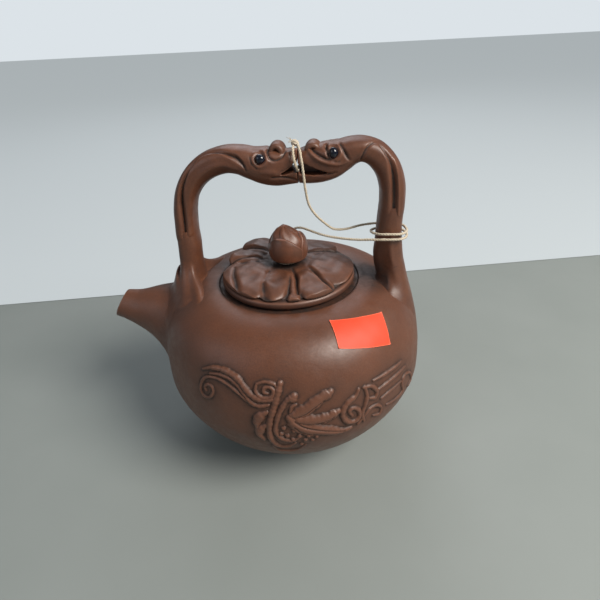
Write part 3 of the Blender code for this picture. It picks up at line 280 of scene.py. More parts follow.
def wall_rows():
    """Rows over the whole wall: underside, outside, recess and seat, then down the hollow to its floor."""
    turn = np.arange(WALL_COLUMNS) * 2.0 * math.pi / WALL_COLUMNS
    climbs = np.concatenate([
        np.arange(CLIMB[0], RELIEF_FROM, PLAIN_ROW), np.arange(RELIEF_FROM, RELIEF_TO, RELIEF_ROW),
        np.arange(RELIEF_TO, CLIMB[-1], SHOULDER_ROW), CLIMB[-1:]])
    outside = np.stack([on_pot(turn, np.full(WALL_COLUMNS, climb)) for climb in climbs])
    underside = turned_rows([(0.0135, POT_UNDERSIDE), (0.0245, POT_UNDERSIDE)], WALL_COLUMNS)
    recess = softened([
        (0.0300, SHOULDER_LEVEL), (RECESS_RADIUS + 0.0003, SHOULDER_LEVEL - 0.0001),
        (RECESS_RADIUS, SHOULDER_LEVEL - 0.0004), (RECESS_RADIUS, SEAT_LEVEL), (MOUTH_RADIUS + 0.003, SEAT_LEVEL),
        (MOUTH_RADIUS, SEAT_LEVEL), (MOUTH_RADIUS, SEAT_LEVEL - WALL), (MOUTH_RADIUS + 0.0028, SEAT_LEVEL - WALL)])
    hollow_climbs = np.concatenate([np.arange(0.0400, 0.0260, -0.0016), np.arange(0.0260, 0.0060, -0.0007),
                                    np.arange(0.0060, -0.0440, -0.0022)])
    hollow_radius = np.interp(hollow_climbs, CLIMB, CLIMB_RADIUS - WALL * OUT_RADIUS)
    hollow_level = np.interp(hollow_climbs, CLIMB, CLIMB_LEVEL - WALL * OUT_LEVEL)
    floor_level = POT_UNDERSIDE + WALL
    hollow = [(r, z) for r, z in zip(hollow_radius, hollow_level) if z > floor_level + 0.0004 and r > 0.0262]
    hollow += [(hollow[-1][0] - 0.0016, floor_level + 0.0001), (0.0180, floor_level), (0.0090, floor_level)]
    inside = turned_rows(np.vstack([recess, hollow]), WALL_COLUMNS)
    return np.concatenate([underside, outside, inside])


def pierce_strainer(wall):
    """Opens the strainer holes through both skins and lines each with its own wall."""
    skin = bmesh.new()
    skin.from_mesh(wall.data)
    near = [face for face in skin.faces if face.calc_center_median().x < STRAINER_SIDE]
    spots = [(0.0, 0.0)]
    for step in range(STRAINER_COUNT):
        angle = 2.0 * math.pi * step / STRAINER_COUNT
        spots.append((STRAINER_RING * math.cos(angle), STRAINER_RING * math.sin(angle)))
    for across, up in spots:
        middle = Vector((across, SPOUT_ROOT_LEVEL + up))
        doomed = []
        for face in near:
            if face.is_valid:
                centre = face.calc_center_median()
                if (Vector((centre.y, centre.z)) - middle).length < STRAINER_RADIUS:
                    doomed.append(face)
        bmesh.ops.delete(skin, geom=doomed, context="FACES")
        rim = []
        for edge in skin.edges:
            if edge.is_boundary and edge.verts[0].co.x < STRAINER_SIDE:
                if (Vector((edge.verts[0].co.y, edge.verts[0].co.z)) - middle).length < 2.0 * STRAINER_RADIUS:
                    rim.append(edge)
        for vertex in {vertex for edge in rim for vertex in edge.verts}:
            away = Vector((vertex.co.y, vertex.co.z)) - middle
            away *= STRAINER_RADIUS / away.length
            vertex.co.y, vertex.co.z = middle + away
        bmesh.ops.bridge_loops(skin, edges=rim)
    bmesh.ops.recalc_face_normals(skin, faces=skin.faces)
    skin.to_mesh(wall.data)
    skin.free()
    wall.data.shade_smooth()


# The clay's colour, then the dark colour of slip and painted shade, then the paler colour of worn ridges and of a
# painted highlight
CLAY = "5B3827"
CLAY_STAIN_AND_SHADE = "21130C"
CLAY_WORN_AND_HIGHLIT = "7A503A"

wall_clay = unglazed_stoneware(
    "rubbed_brown_stoneware", CLAY, "643C28", CLAY_STAIN_AND_SHADE, CLAY_WORN_AND_HIGHLIT, roughness=0.44, ripple=0.25, mottling=16.0)
pot_wall = add_piece("pot_wall", *closed_skin(wall_rows()), wall_clay, ["body_shell"])
pierce_strainer(pot_wall)


# ---------------------------------------------------------------------------------------------------------
# Foot slab
# A flat disc of the same clay luted under the pot, with a slightly dished underside, left rough from the
# board it was rolled on. It carries no seal.

FOOT_RADIUS = 0.0255
FOOT_HEIGHT = 0.0020
FOOT_COLUMNS = 160


def give_values(piece, label, values):
    """Stores one number for each point of the mesh, which the piece's finish reads."""
    layer = piece.data.attributes.get(label) or piece.data.attributes.new(label, "FLOAT", "POINT")
    layer.data.foreach_set("value", np.clip(np.asarray(values, dtype=np.float32).ravel(), 0.0, 1.0))


def points_of(piece):
    """The mesh's points as an array."""
    flat = np.empty(len(piece.data.vertices) * 3, dtype=np.float32)
    piece.data.vertices.foreach_get("co", flat)
    return flat.reshape(-1, 3).astype(float)


foot_clay = unglazed_stoneware(
    "board_rough_stoneware", "5E3F33", "6C4739", CLAY_STAIN_AND_SHADE, CLAY_WORN_AND_HIGHLIT, roughness=0.62, pits=0.7)
foot_profile = softened([
    (0.0060, 0.00035), (0.0195, 0.0003), (0.0208, 0.0), (FOOT_RADIUS - 0.0006, 0.0), (FOOT_RADIUS, 0.0006),
    (FOOT_RADIUS, FOOT_HEIGHT - 0.0002), (FOOT_RADIUS - 0.0004, FOOT_HEIGHT), (0.0120, FOOT_HEIGHT)])
foot_slab = add_piece("foot_slab", *closed_skin(turned_rows(foot_profile, FOOT_COLUMNS)), foot_clay, ["foot_disc"])
foot_points = points_of(foot_slab)
foot_reach = np.hypot(foot_points[:, 0], foot_points[:, 1])
# Painted shade on the top of the slab, under the belly
give_values(foot_slab, "stain_and_shade", 0.6 * np.clip((foot_points[:, 2] - 0.0012) / 0.0006, 0.0, 1.0))
give_values(foot_slab, "wear_and_highlight", 0.7 * np.clip(1.0 - foot_points[:, 2] / 0.0003, 0.0, 1.0) * (foot_reach > 0.0195))


# ---------------------------------------------------------------------------------------------------------
# Spout
# A short tapering tube of clay, bored, cut on a slant at the mouth and luted over the strainer. The join is
# smoothed outwards over the wall with a wet finger, so no edge shows at its root.

SPOUT_LENGTH = 0.0213
SPOUT_MOUTH_LEVEL = 0.0620
SPOUT_ROOT_RADIUS = 0.0170
SPOUT_TIP_RADIUS = 0.0051
SPOUT_SIDE_SHARE = 0.80
SPOUT_BORE_WALL = 0.0015
MOUTH_TILT = math.radians(30.5)
SPOUT_COLUMNS = 112
# The wet finger's passes over the sweep, and how softly the root sinks into the wall
SWEEP_PASSES = 90
ROOT_SOFTNESS = 0.0016
SPOUT_LINE = (
    # share of its length out from the belly's side, share of its rise, share of its spread
    (-0.330, -0.42, 2.00), (-0.310, -0.38, 1.80), (-0.280, -0.30, 1.56), (-0.225, -0.20, 1.32), (-0.015, -0.02, 1.02),
    (0.158, 0.24, 0.80), (0.317, 0.43, 0.58), (0.498, 0.60, 0.38), (0.706, 0.75, 0.21), (0.919, 0.88, 0.10),
    (1.000, 0.93, 0.06), (1.086, 0.98, 0.03), (1.370, 1.08, 0.00),
)


def smooth_line(places, steps):
    """Places on a smooth curve through the given ones, with so many steps to each stretch."""
    table = np.array(places, dtype=float)
    padded = np.vstack([2.0 * table[0] - table[1], table, 2.0 * table[-1] - table[-2]])
    share = (np.arange(steps) / steps)[:, None]
    result = []
    for before, start, end, after in zip(padded, padded[1:], padded[2:], padded[3:]):
        curve = 2.0 * start + (end - before) * share
        curve = curve + (2.0 * before - 5.0 * start + 4.0 * end - after) * share ** 2
        curve = curve + (3.0 * start - before - 3.0 * end + after) * share ** 3
        result.append(curve / 2.0)
    return np.vstack(result + [table[-1:]])


def eased(value, low, high):
    """Smooth step from 0 at low to 1 at high."""
    share = np.clip((value - low) / (high - low), 0.0, 1.0)
    return share * share * (3.0 - 2.0 * share)


def soft_lift(lift, softness):
    """Height over the pot that never goes below its surface and turns smoothly into it."""
    return softness * np.logaddexp(0.0, lift / softness)


def above_pot(points):
    """Turn, climb and height over the pot's surface of each point."""
    flat = points.reshape(-1, 3)
    radius = np.hypot(flat[:, 0], flat[:, 1])
    climb = np.empty(len(flat))
    lift = np.empty(len(flat))
    for part in np.array_split(np.arange(len(flat)), len(flat) // 3000 + 1):
        aside = radius[part, None] - CLIMB_RADIUS
        up = flat[part, 2][:, None] - CLIMB_LEVEL
        nearest = (aside ** 2 + up ** 2).argmin(axis=1)
        pick = np.arange(len(part))
        lift[part] = aside[pick, nearest] * OUT_RADIUS[nearest] + up[pick, nearest] * OUT_LEVEL[nearest]
        climb[part] = CLIMB[nearest]
    turn = np.arctan2(flat[:, 0], -flat[:, 1])
    return [values.reshape(points.shape[:-1]) for values in (turn, climb, lift)]


def spout_rows(inset):
    """Rows round the spout from its root to its slanted mouth."""
    line = smooth_line(SPOUT_LINE, 9)
    line = line[line[:, 0] <= 1.0001]
    angle = np.arange(SPOUT_COLUMNS) * 2.0 * math.pi / SPOUT_COLUMNS
    reach, climb, spread = line[:, :1], line[:, 1:2], line[:, 2:]
    flare = (SPOUT_ROOT_RADIUS - SPOUT_TIP_RADIUS) * np.maximum(spread, 0.0)
    width = SPOUT_TIP_RADIUS + flare * SPOUT_SIDE_SHARE - inset
    # At the mouth the rows lean over to the slant of the cut, and follow the tube's taper up and down
    level = SPOUT_ROOT_LEVEL + (SPOUT_MOUTH_LEVEL - SPOUT_ROOT_LEVEL) * climb
    up = (SPOUT_TIP_RADIUS + flare - inset) * np.sin(angle)
    lean = math.tan(MOUTH_TILT) * eased(reach, 0.30, 1.0)
    taper = np.interp(reach - lean * (level + up - SPOUT_MOUTH_LEVEL) / SPOUT_LENGTH, line[:, 0], line[:, 2])
    top = SPOUT_TIP_RADIUS + (SPOUT_ROOT_RADIUS - SPOUT_TIP_RADIUS) * taper - inset
    up = up * (1.0 + eased(reach, 0.30, 1.0) * (top / (SPOUT_TIP_RADIUS + flare - inset) - 1.0))
    along = -BELLY_RADIUS - SPOUT_LENGTH * reach + lean * (level + up - SPOUT_MOUTH_LEVEL)
    return np.stack([along, -width * np.cos(angle), level + up], axis=-1), line[:, 0]


def tube_faces(rows):
    """Faces of a skin whose rows are closed and whose last row joins the first again."""
    count, columns = rows.shape[:2]
    return grid_faces(count + 1, columns) % (count * columns)


def build_spout(finish):
    """The tube outside, its slanted lip and its bore, with the root laid on the wall and swept into it."""
    outer, reach = spout_rows(0.0)
    turn, climb, lift = above_pot(outer)
    fade = eased(reach, -0.33, -0.05)[:, None]
    sunk = 0.00018 * (1.0 - eased(reach, -0.33, -0.29)[:, None])
    laid = on_pot(turn, climb, soft_lift(lift, ROOT_SOFTNESS) * fade - sunk)
    free = eased(lift, 0.004, 0.009)[..., None]
    outer = outer * free + laid * (1.0 - free)
    # The wet finger leaves a wide hollow sweep from the wall up the tube
    loose = (eased(reach, -0.325, -0.20) * (1.0 - eased(reach, 0.35, 0.75)))[1:-1, None, None]
    for _ in range(SWEEP_PASSES):
        outer[1:-1] += 0.25 * loose * (outer[:-2] + outer[2:] - 2.0 * outer[1:-1])
    bore, _ = spout_rows(SPOUT_BORE_WALL)
    slant = np.array([-math.cos(MOUTH_TILT), 0.0, math.sin(MOUTH_TILT)])
    lip = [outer[-1] * (1.0 - share) + bore[-1] * share + slant * bulge
           for share, bulge in ((0.12, 0.00028), (0.35, 0.00046), (0.65, 0.00046), (0.9, 0.00020))]
    inner = bore[reach > -0.20][::-1]
    rows = np.concatenate([outer, np.array(lip), inner])
    spout = add_piece("pouring_spout", rows, tube_faces(rows), finish, ["spout"])
    # Painted shade growing deeper into the bore, and the outside a little darker near the root
    depth = np.concatenate([np.zeros(len(outer) + 2), np.linspace(0.25, 1.0, len(inner) + 2)])
    near_root = eased(reach, -0.33, -0.20) * (1.0 - eased(reach, -0.15, 0.25))
    root = np.concatenate([0.18 * near_root, np.zeros(len(inner) + 4)])
    stain_and_shade = np.maximum(depth, root)[:, None] * np.ones(SPOUT_COLUMNS)
    give_values(spout, "stain_and_shade", stain_and_shade)
    edge = np.zeros(len(rows))
    edge[len(outer) - 1:len(outer) + 3] = 0.6
    give_values(spout, "wear_and_highlight", edge[:, None] * np.ones(SPOUT_COLUMNS))
    return spout


spout_clay = unglazed_stoneware(
    "hand_smoothed_stoneware", CLAY, "643C28", CLAY_STAIN_AND_SHADE, CLAY_WORN_AND_HIGHLIT, roughness=0.46, mottling=7.0)
pouring_spout = build_spout(spout_clay)


# ---------------------------------------------------------------------------------------------------------
# Handle posts
# Two squarish posts of brown stoneware luted on the shoulder. Each foot is drawn out over the wall with the
# fingers, furthest to the front and to the back, with pressed hollows and a leaf-shaped toe, and smoothed away.

ARM_SECTION = (
    # share outwards from the arch, share sideways; a squarish clay strip with a rounded back
    (1.00, 0.00), (0.95, 0.42), (0.78, 0.76), (0.50, 0.93), (0.16, 0.98), (-0.20, 0.97), (-0.56, 0.84),
    (-0.86, 0.54), (-1.00, 0.00), (-0.86, -0.54), (-0.56, -0.84), (-0.20, -0.97), (0.16, -0.98), (0.50, -0.93),
    (0.78, -0.76), (0.95, -0.42),
)
LEFT_POST_LINE = (
    # millimetres: level, middle across, half thickness along the handle, half width
    (98.2, -40.3, 4.2, 5.6), (95.0, -40.4, 4.5, 6.0), (91.0, -40.5, 4.6, 6.2), (86.0, -40.9, 4.6, 6.3),
    (81.0, -41.1, 4.7, 6.5), (76.0, -41.2, 5.0, 6.8), (70.0, -41.4, 5.4, 7.2), (60.0, -41.4, 5.6, 7.4),
)
RIGHT_POST_LINE = (
    (107.0, 41.2, 4.5, 5.7), (104.0, 41.1, 4.9, 6.2), (97.5, 40.8, 5.0, 6.2), (92.0, 40.9, 5.4, 6.3),
    (87.0, 41.0, 5.9, 6.5), (82.0, 41.7, 6.1, 6.7), (77.0, 42.9, 6.1, 7.0), (70.0, 44.6, 6.2, 7.4),
    (58.0, 46.0, 6.4, 7.6),
)
# How far in millimetres a foot is drawn out over the wall, and how high up the post it begins, by direction:
# outwards along the handle, sideways to the front and the back, and inwards to the lid. A foot's lean is the share
# of that reach by which its front and back also go outwards along the handle, or inwards where it is negative
LEFT_FOOT_REACH = (8.5, 18.5, 0.5)
LEFT_FOOT_CLIMB = (11.5, 12.0, 1.2)
LEFT_FOOT_LEAN = -0.46
RIGHT_FOOT_REACH = (5.5, 6.0, 1.6)
RIGHT_FOOT_CLIMB = (13.0, 9.0, 3.0)
RIGHT_FOOT_LEAN = 0.10
POST_COLUMNS = 190
POST_ROWS = 56
FOOT_ROWS = 66
# Columns to each side that fill the valley on a foot's outer side, and that even the filling out
VALLEY_REACH = 14
VALLEY_BLEND = 10
# The maker's smoothing passes over the whole post, and over the foot from the row where it begins
POST_PASSES = 6
FOOT_PASSES = 34
FOOT_FIRST_ROW = 50
# Pressed lines run out over the last rows at the foot's edge
FADE_ROWS = 14
# The spout's top carries the left foot only this far out and this far to the front and the back
SPOUT_TOP_ACROSS = -0.034
SPOUT_TOP_ASIDE = 0.030
# Lines pressed in or raised, in millimetres: place in space, half width and depth, and a raised one's is negative
LEFT_POST_LINES = (
    ((-36.9, -6.6, 87.0, 1.4, -0.15), (-36.8, -7.4, 81.0, 1.5, -0.3), (-36.0, -10.5, 77.6, 1.8, -0.5),
     (-34.8, -14.6, 76.0, 2.2, -0.7), (-33.6, -19.0, 75.2, 2.0, -0.7), (-32.0, -24.0, 74.4, 1.3, -0.4)),
    ((-44.6, -6.5, 84.0, 0.8, -0.15), (-44.2, -8.0, 79.4, 0.9, -0.4), (-43.0, -12.0, 75.6, 1.0, -0.55),
     (-41.8, -16.0, 73.6, 1.0, -0.5), (-40.6, -20.0, 71.9, 0.9, -0.3)),
    ((-40.6, -7.0, 84.0, 1.2, 0.3), (-40.2, -8.4, 79.4, 1.6, 0.8), (-39.2, -12.4, 76.2, 2.0, 1.0),
     (-37.9, -17.0, 74.6, 2.0, 0.9), (-36.4, -22.0, 73.2, 1.6, 0.6)),
)
RIGHT_POST_LINES = (
    ((41.4, -6.4, 98.0, 0.8, -0.3), (41.4, -6.6, 91.0, 0.9, -0.5), (42.4, -6.8, 85.0, 1.0, -0.7),
     (43.8, -7.0, 79.0, 1.1, -0.5)),
    ((37.8, -6.2, 94.0, 1.6, 0.3), (37.9, -6.4, 88.0, 2.2, 0.7), (38.6, -6.6, 82.0, 2.6, 1.1),
     (39.4, -7.0, 78.0, 2.6, 1.0), (40.6, -8.4, 75.4, 2.2, 0.5)),
)


def round_section(places, columns):
    """Evenly spaced places round a smooth closed line."""
    table = np.array(places, dtype=float)
    looped = np.vstack([table[-1:], table, table[:2]])
    line = smooth_line(looped, 12)[12:-12]
    lengths = np.concatenate([[0.0], np.cumsum(np.hypot(*np.diff(line, axis=0).T))])
    at = np.linspace(0.0, lengths[-1], columns + 1)[:-1]
    return np.stack([np.interp(at, lengths, line[:, 0]), np.interp(at, lengths, line[:, 1])], axis=-1)


spout_skin = BVHTree.FromPolygons(
    [vertex.co[:] for vertex in pouring_spout.data.vertices],
    [face.vertices[:] for face in pouring_spout.data.polygons])


def standing_level(across, aside):
    """Level of the clay that a foot stands on: the pot's shoulder and, on the left, the top of the spout."""
    upper = CLIMB > 0.0
    shoulder = np.interp(np.hypot(across, aside), CLIMB_RADIUS[upper][::-1], CLIMB_LEVEL[upper][::-1])
    tube = np.zeros(across.size)
    for number, (x, y) in enumerate(zip(across.ravel(), aside.ravel())):
        if x < SPOUT_TOP_ACROSS and abs(y) < SPOUT_TOP_ASIDE:
            place = spout_skin.ray_cast((x, y, 0.2), (0.0, 0.0, -1.0))[0]
            tube[number] = place.z if place else 0.0
    return shoulder + soft_lift(tube.reshape(across.shape) - shoulder, 0.0005)


def foot_measure(measures, out, side):
    """One of a foot's measures in each direction round the post, from its three."""
    outer, front, inner = measures
    along = inner + (outer - inner) * eased(out, -0.4, 0.4)
    share = eased(np.abs(side), 0.62, 1.0)
    return (along * (1.0 - share) + front * share) / 1000.0


def post_rows(line_places, reaches, climbs, lean, side):
    """Rows down one post and out over the clay that it stands on."""
    line = smooth_line(line_places, 8)[::-1] / 1000.0
    section = round_section(ARM_SECTION, POST_COLUMNS)
    step = np.roll(section, -1, axis=0) - np.roll(section, 1, axis=0)
    outwards = np.stack([step[:, 1], -step[:, 0]], axis=-1)
    outwards /= np.linalg.norm(outwards, axis=1)[:, None]
    outwards *= np.sign((outwards * section).sum(axis=1))[:, None]
    # Columns on the outer side, and those that face the front or the back, which are drawn out nearly straight
    outer = eased(section[:, 0], -0.1, 0.6)
    forward = eased(np.abs(section[:, 1]) - 0.30 * outer, 0.45, 0.9 - 0.2 * outer)
    leaning = lean * forward * (1.0 - 0.5 * eased(section[:, 0], -0.6, 0.8))
    outwards[:, 0] = outwards[:, 0] * (1.0 - 0.85 * forward) + leaning
    reach = foot_measure(reaches, section[:, 0], section[:, 1])
    climb = foot_measure(climbs, section[:, 0], section[:, 1])

    def at_level(level, drawn):
        """The post's section at a level, drawn out by so much."""
        middle, thick, wide = [np.interp(level, line[:, 0], line[:, index]) for index in (1, 2, 3)]
        across = middle - side * (thick * section[:, 0] + drawn * outwards[:, 0])
        return across, -(wide * section[:, 1] + drawn * outwards[:, 1])

    still = np.zeros(POST_COLUMNS)
    across, aside = at_level(np.full(POST_COLUMNS, 0.078), still)
    start = standing_level(across, aside) + climb
    # On the outer side the foot begins as high as the columns near it, which fills the valley between them
    high = np.max([np.roll(start, shift) for shift in range(-VALLEY_REACH, VALLEY_REACH + 1)], axis=0)
    filled = np.mean([np.roll(high, shift) for shift in range(-VALLEY_BLEND, VALLEY_BLEND + 1)], axis=0)
    start += (np.maximum(filled, start) - start) * eased(section[:, 0], 0.0, 0.5)
    climb = start - standing_level(across, aside)
    rows = []
    for share in np.linspace(0.0, 1.0, POST_ROWS)[:-1]:
        level = line[-1, 0] * (1.0 - share) + start * share
        across, aside = at_level(level, still)
        rows.append(np.stack([across, aside, level], axis=-1))
    for turn in np.linspace(0.0, math.pi / 2.0, FOOT_ROWS):
        drawn = reach * (1.0 - math.cos(turn))
        height = climb * (1.0 - math.sin(turn))
        across, aside = at_level(np.maximum(start - climb + height, 0.060), drawn)
        level = standing_level(across, aside) + height - 0.0003 * math.sin(turn) ** 12
        rows.append(np.stack([across, aside, level], axis=-1))
    return np.array(rows)


def edge_pairs(faces):
    """Each edge of the faces once, as two columns of point numbers."""
    pairs = {tuple(sorted(pair)) for face in faces for pair in zip(face, face[1:] + face[:1])}
    return np.array(sorted(pairs))


def neighbour_mean(values, pairs, count):
    """Mean of each point's neighbours."""
    total = np.zeros((count,) + values.shape[1:])
    number = np.zeros(count)
    for here, there in (pairs.T, pairs.T[::-1]):
        np.add.at(total, here, values[there])
        np.add.at(number, here, 1.0)
    return total / np.maximum(number, 1.0).reshape((-1,) + (1,) * (values.ndim - 1))


def facing_of(points, faces):
    """Unit direction that each point's skin faces."""
    mesh = bpy.data.meshes.new("facing")
    mesh.from_pydata(points.tolist(), [], faces)
    mesh.update()
    flat = np.empty(len(points) * 3, dtype=np.float32)
    mesh.vertex_normals.foreach_get("vector", flat)
    bpy.data.meshes.remove(mesh)
    return flat.reshape(-1, 3).astype(float)


def hollow_and_ridge(points, faces, pairs, near=3, wide=14):
    """How hollow and how ridged the skin is at each point, closely and broadly."""
    facing = facing_of(points, faces)
    mean = points.copy()
    for _ in range(near):
        mean = neighbour_mean(mean, pairs, len(points))
    fine = ((mean - points) * facing).sum(axis=1)
    for _ in range(wide):
        mean = neighbour_mean(mean, pairs, len(points))
    broad = ((mean - points) * facing).sum(axis=1)
    return fine, broad


def nearest_on(places, line):
    """Distance from each place to a close-set line, and the number of the nearest place on it."""
    best = np.full(len(places), np.inf)
    pick = np.zeros(len(places), dtype=int)
    for part in np.array_split(np.arange(len(line)), len(line) // 40 + 1):
        away = np.sqrt(sum((places[:, axis:axis + 1] - line[part, axis]) ** 2 for axis in range(places.shape[1])))
        close = away.argmin(axis=1)
        value = away[np.arange(len(places)), close]
        nearer = value < best
        best[nearer] = value[nearer]
        pick[nearer] = part[close[nearer]]
    return best, pick


def worked(places, lines, step=0.2):
    """Height to add at each place, in millimetres, for lines pressed in or raised."""
    height = np.zeros(len(places))
    axes = places.shape[1]
    for line in lines:
        gaps = np.linalg.norm(np.diff(np.array(line)[:, :axes], axis=0), axis=1)
        fine = smooth_line(line, max(4, int(gaps.max() / step)))
        away, nearest = nearest_on(places, fine[:, :axes])
        height -= fine[nearest, axes + 1] * np.exp(-(away / (fine[nearest, axes] * 1.15)) ** 2)
    return height


def build_post(name, node, rows, lines, turned_in_shade, finish):
    """One post, worked along its lines, with its hidden ends left open in the arm and under the foot's edge. The fifth
    argument sets how dark the painted shade is on the sides that turn in to the lid, away from the key lamp."""
    faces = grid_faces(len(rows), POST_COLUMNS)
    corners = faces[:, ::-1].tolist() if rows[0, :, 0].mean() < 0.0 else faces.tolist()
    points = rows.reshape(-1, 3)
    facing = facing_of(points, corners)
    if (facing[:POST_COLUMNS] * (points[:POST_COLUMNS] - points[:POST_COLUMNS].mean(axis=0))).sum() < 0.0:
        corners = [corner[::-1] for corner in corners]
        facing = -facing
    pairs = edge_pairs(corners)
    mirrored = [[(x, -y) + tuple(rest) for x, y, *rest in line] for line in lines]
    fade = np.ones(len(rows))
    fade[-FADE_ROWS:] = np.linspace(1.0, 0.0, FADE_ROWS)
    height = worked(points * 1000.0, list(lines) + mirrored) / 1000.0 * np.repeat(fade, POST_COLUMNS)
    points = points + facing * height[:, None]
    inner = slice(POST_COLUMNS, -POST_COLUMNS)
    for _ in range(POST_PASSES):
        points[inner] += 0.5 * (neighbour_mean(points, pairs, len(points)) - points)[inner]
    foot = slice(FOOT_FIRST_ROW * POST_COLUMNS, -POST_COLUMNS)
    for _ in range(FOOT_PASSES):
        points[foot] += 0.5 * (neighbour_mean(points, pairs, len(points)) - points)[foot]
    post = add_piece(name, points, corners, finish, [node])
    _, broad = hollow_and_ridge(points, corners, pairs, 3, 26)
    lift = points[:, 2] - standing_level(points[:, 0], points[:, 1])
    low = 1.0 - eased(lift, 0.006, 0.018)
    # Dark slip and painted shade in the hollows of the foot and in a band just above the wall
    stain_and_shade = 0.55 * low * eased(broad, 0.00010, 0.00060) + 0.12 * low * np.exp(-((lift - 0.0016) / 0.0016) ** 2)
    # Painted shade on the sides that turn in to the lid
    turned_in = eased(-facing[:, 0] * np.sign(points[:, 0]), -0.15, 0.55)
    stain_and_shade = np.maximum(stain_and_shade * np.repeat(fade, POST_COLUMNS), turned_in_shade * turned_in * (1.0 - eased(lift, 0.004, 0.017)))
    give_values(post, "stain_and_shade", stain_and_shade)
    give_values(post, "wear_and_highlight", 0.5 * eased(-broad, 0.00014, 0.00050) * eased(lift, 0.0, 0.0010))


handle_clay = unglazed_stoneware(
    "pressed_brown_stoneware", "573526", "653D28", CLAY_STAIN_AND_SHADE, "7A4E38", roughness=0.43, mottling=6.0)
left_rows = post_rows(LEFT_POST_LINE, LEFT_FOOT_REACH, LEFT_FOOT_CLIMB, LEFT_FOOT_LEAN, 1.0)
build_post("left_handle_post", "left_pillar", left_rows, LEFT_POST_LINES, 0.1, handle_clay)
right_rows = post_rows(RIGHT_POST_LINE, RIGHT_FOOT_REACH, RIGHT_FOOT_CLIMB, RIGHT_FOOT_LEAN, -1.0)
build_post("right_handle_post", "right_pillar", right_rows, RIGHT_POST_LINES, 0.75, handle_clay)


# ---------------------------------------------------------------------------------------------------------
# Dragons
# Each arm of the arch is one dragon in brown stoneware: a bent body with a groove along each flank, and a head
# with lips, brow and open mouth. They are pressed in a mould, tooled by hand and luted snout to snout.

SPAN = 0.0410
ARCH_BASE_LEVEL = 0.0768
RISE = 0.0560
ARM_HALF_THICKNESS = 0.0050
ARM_HALF_WIDTH = 0.0064
LEFT_DRAGON_LINE = (
    # share of the half span across, share of the rise, thickness and width shares
    (-0.992, 0.275, 0.80, 0.84), (-0.990, 0.330, 0.90, 0.94), (-0.980, 0.432, 0.88, 0.95), (-0.961, 0.539, 0.88, 0.97),
    (-0.910, 0.655, 0.90, 0.98), (-0.810, 0.757, 0.94, 1.00), (-0.671, 0.829, 0.98, 1.02),
    (-0.512, 0.863, 1.00, 1.03), (-0.378, 0.859, 1.06, 1.06), (-0.268, 0.836, 1.18, 1.10),
    (-0.159, 0.818, 1.36, 1.10), (-0.049, 0.806, 1.40, 1.03), (0.061, 0.806, 1.32, 0.94),
    (0.1549, 0.807, 1.24, 0.84),
)
RIGHT_DRAGON_LINE = (
    (1.003, 0.436, 0.88, 0.87), (1.005, 0.491, 0.98, 0.97), (1.010, 0.575, 0.98, 0.98), (1.000, 0.682, 0.98, 0.98),
    (0.949, 0.789, 0.96, 1.00), (0.851, 0.873, 0.92, 1.00), (0.739, 0.907, 0.88, 1.00), (0.641, 0.900, 0.98, 1.03),
    (0.549, 0.871, 1.16, 1.08), (0.459, 0.846, 1.36, 1.10), (0.354, 0.825, 1.40, 1.05), (0.251, 0.814, 1.36, 0.97),
    (0.1622, 0.807, 1.24, 0.84),
)
DRAGON_COLUMNS = 96
DRAGON_VOXEL = 0.00034
# Clay left between the mouths cut from the front and from the back, and how far out the cutting blocks reach
MOUTH_WEB = 0.0014
PLUG_DEPTH = 0.02
# Mouth wedges and the hole between the heads, in millimetres across and up
LEFT_MOUTH_WEDGE = ((-2.6, 119.8), (1.6, 121.4), (5.6, 124.0), (5.9, 121.6), (2.0, 120.4))
RIGHT_MOUTH_WEDGE = ((18.8, 120.6), (13.0, 122.6), (7.6, 125.0), (7.2, 120.2), (12.5, 120.0))
HEAD_HOLE = (5.9, 122.6, 1.7)
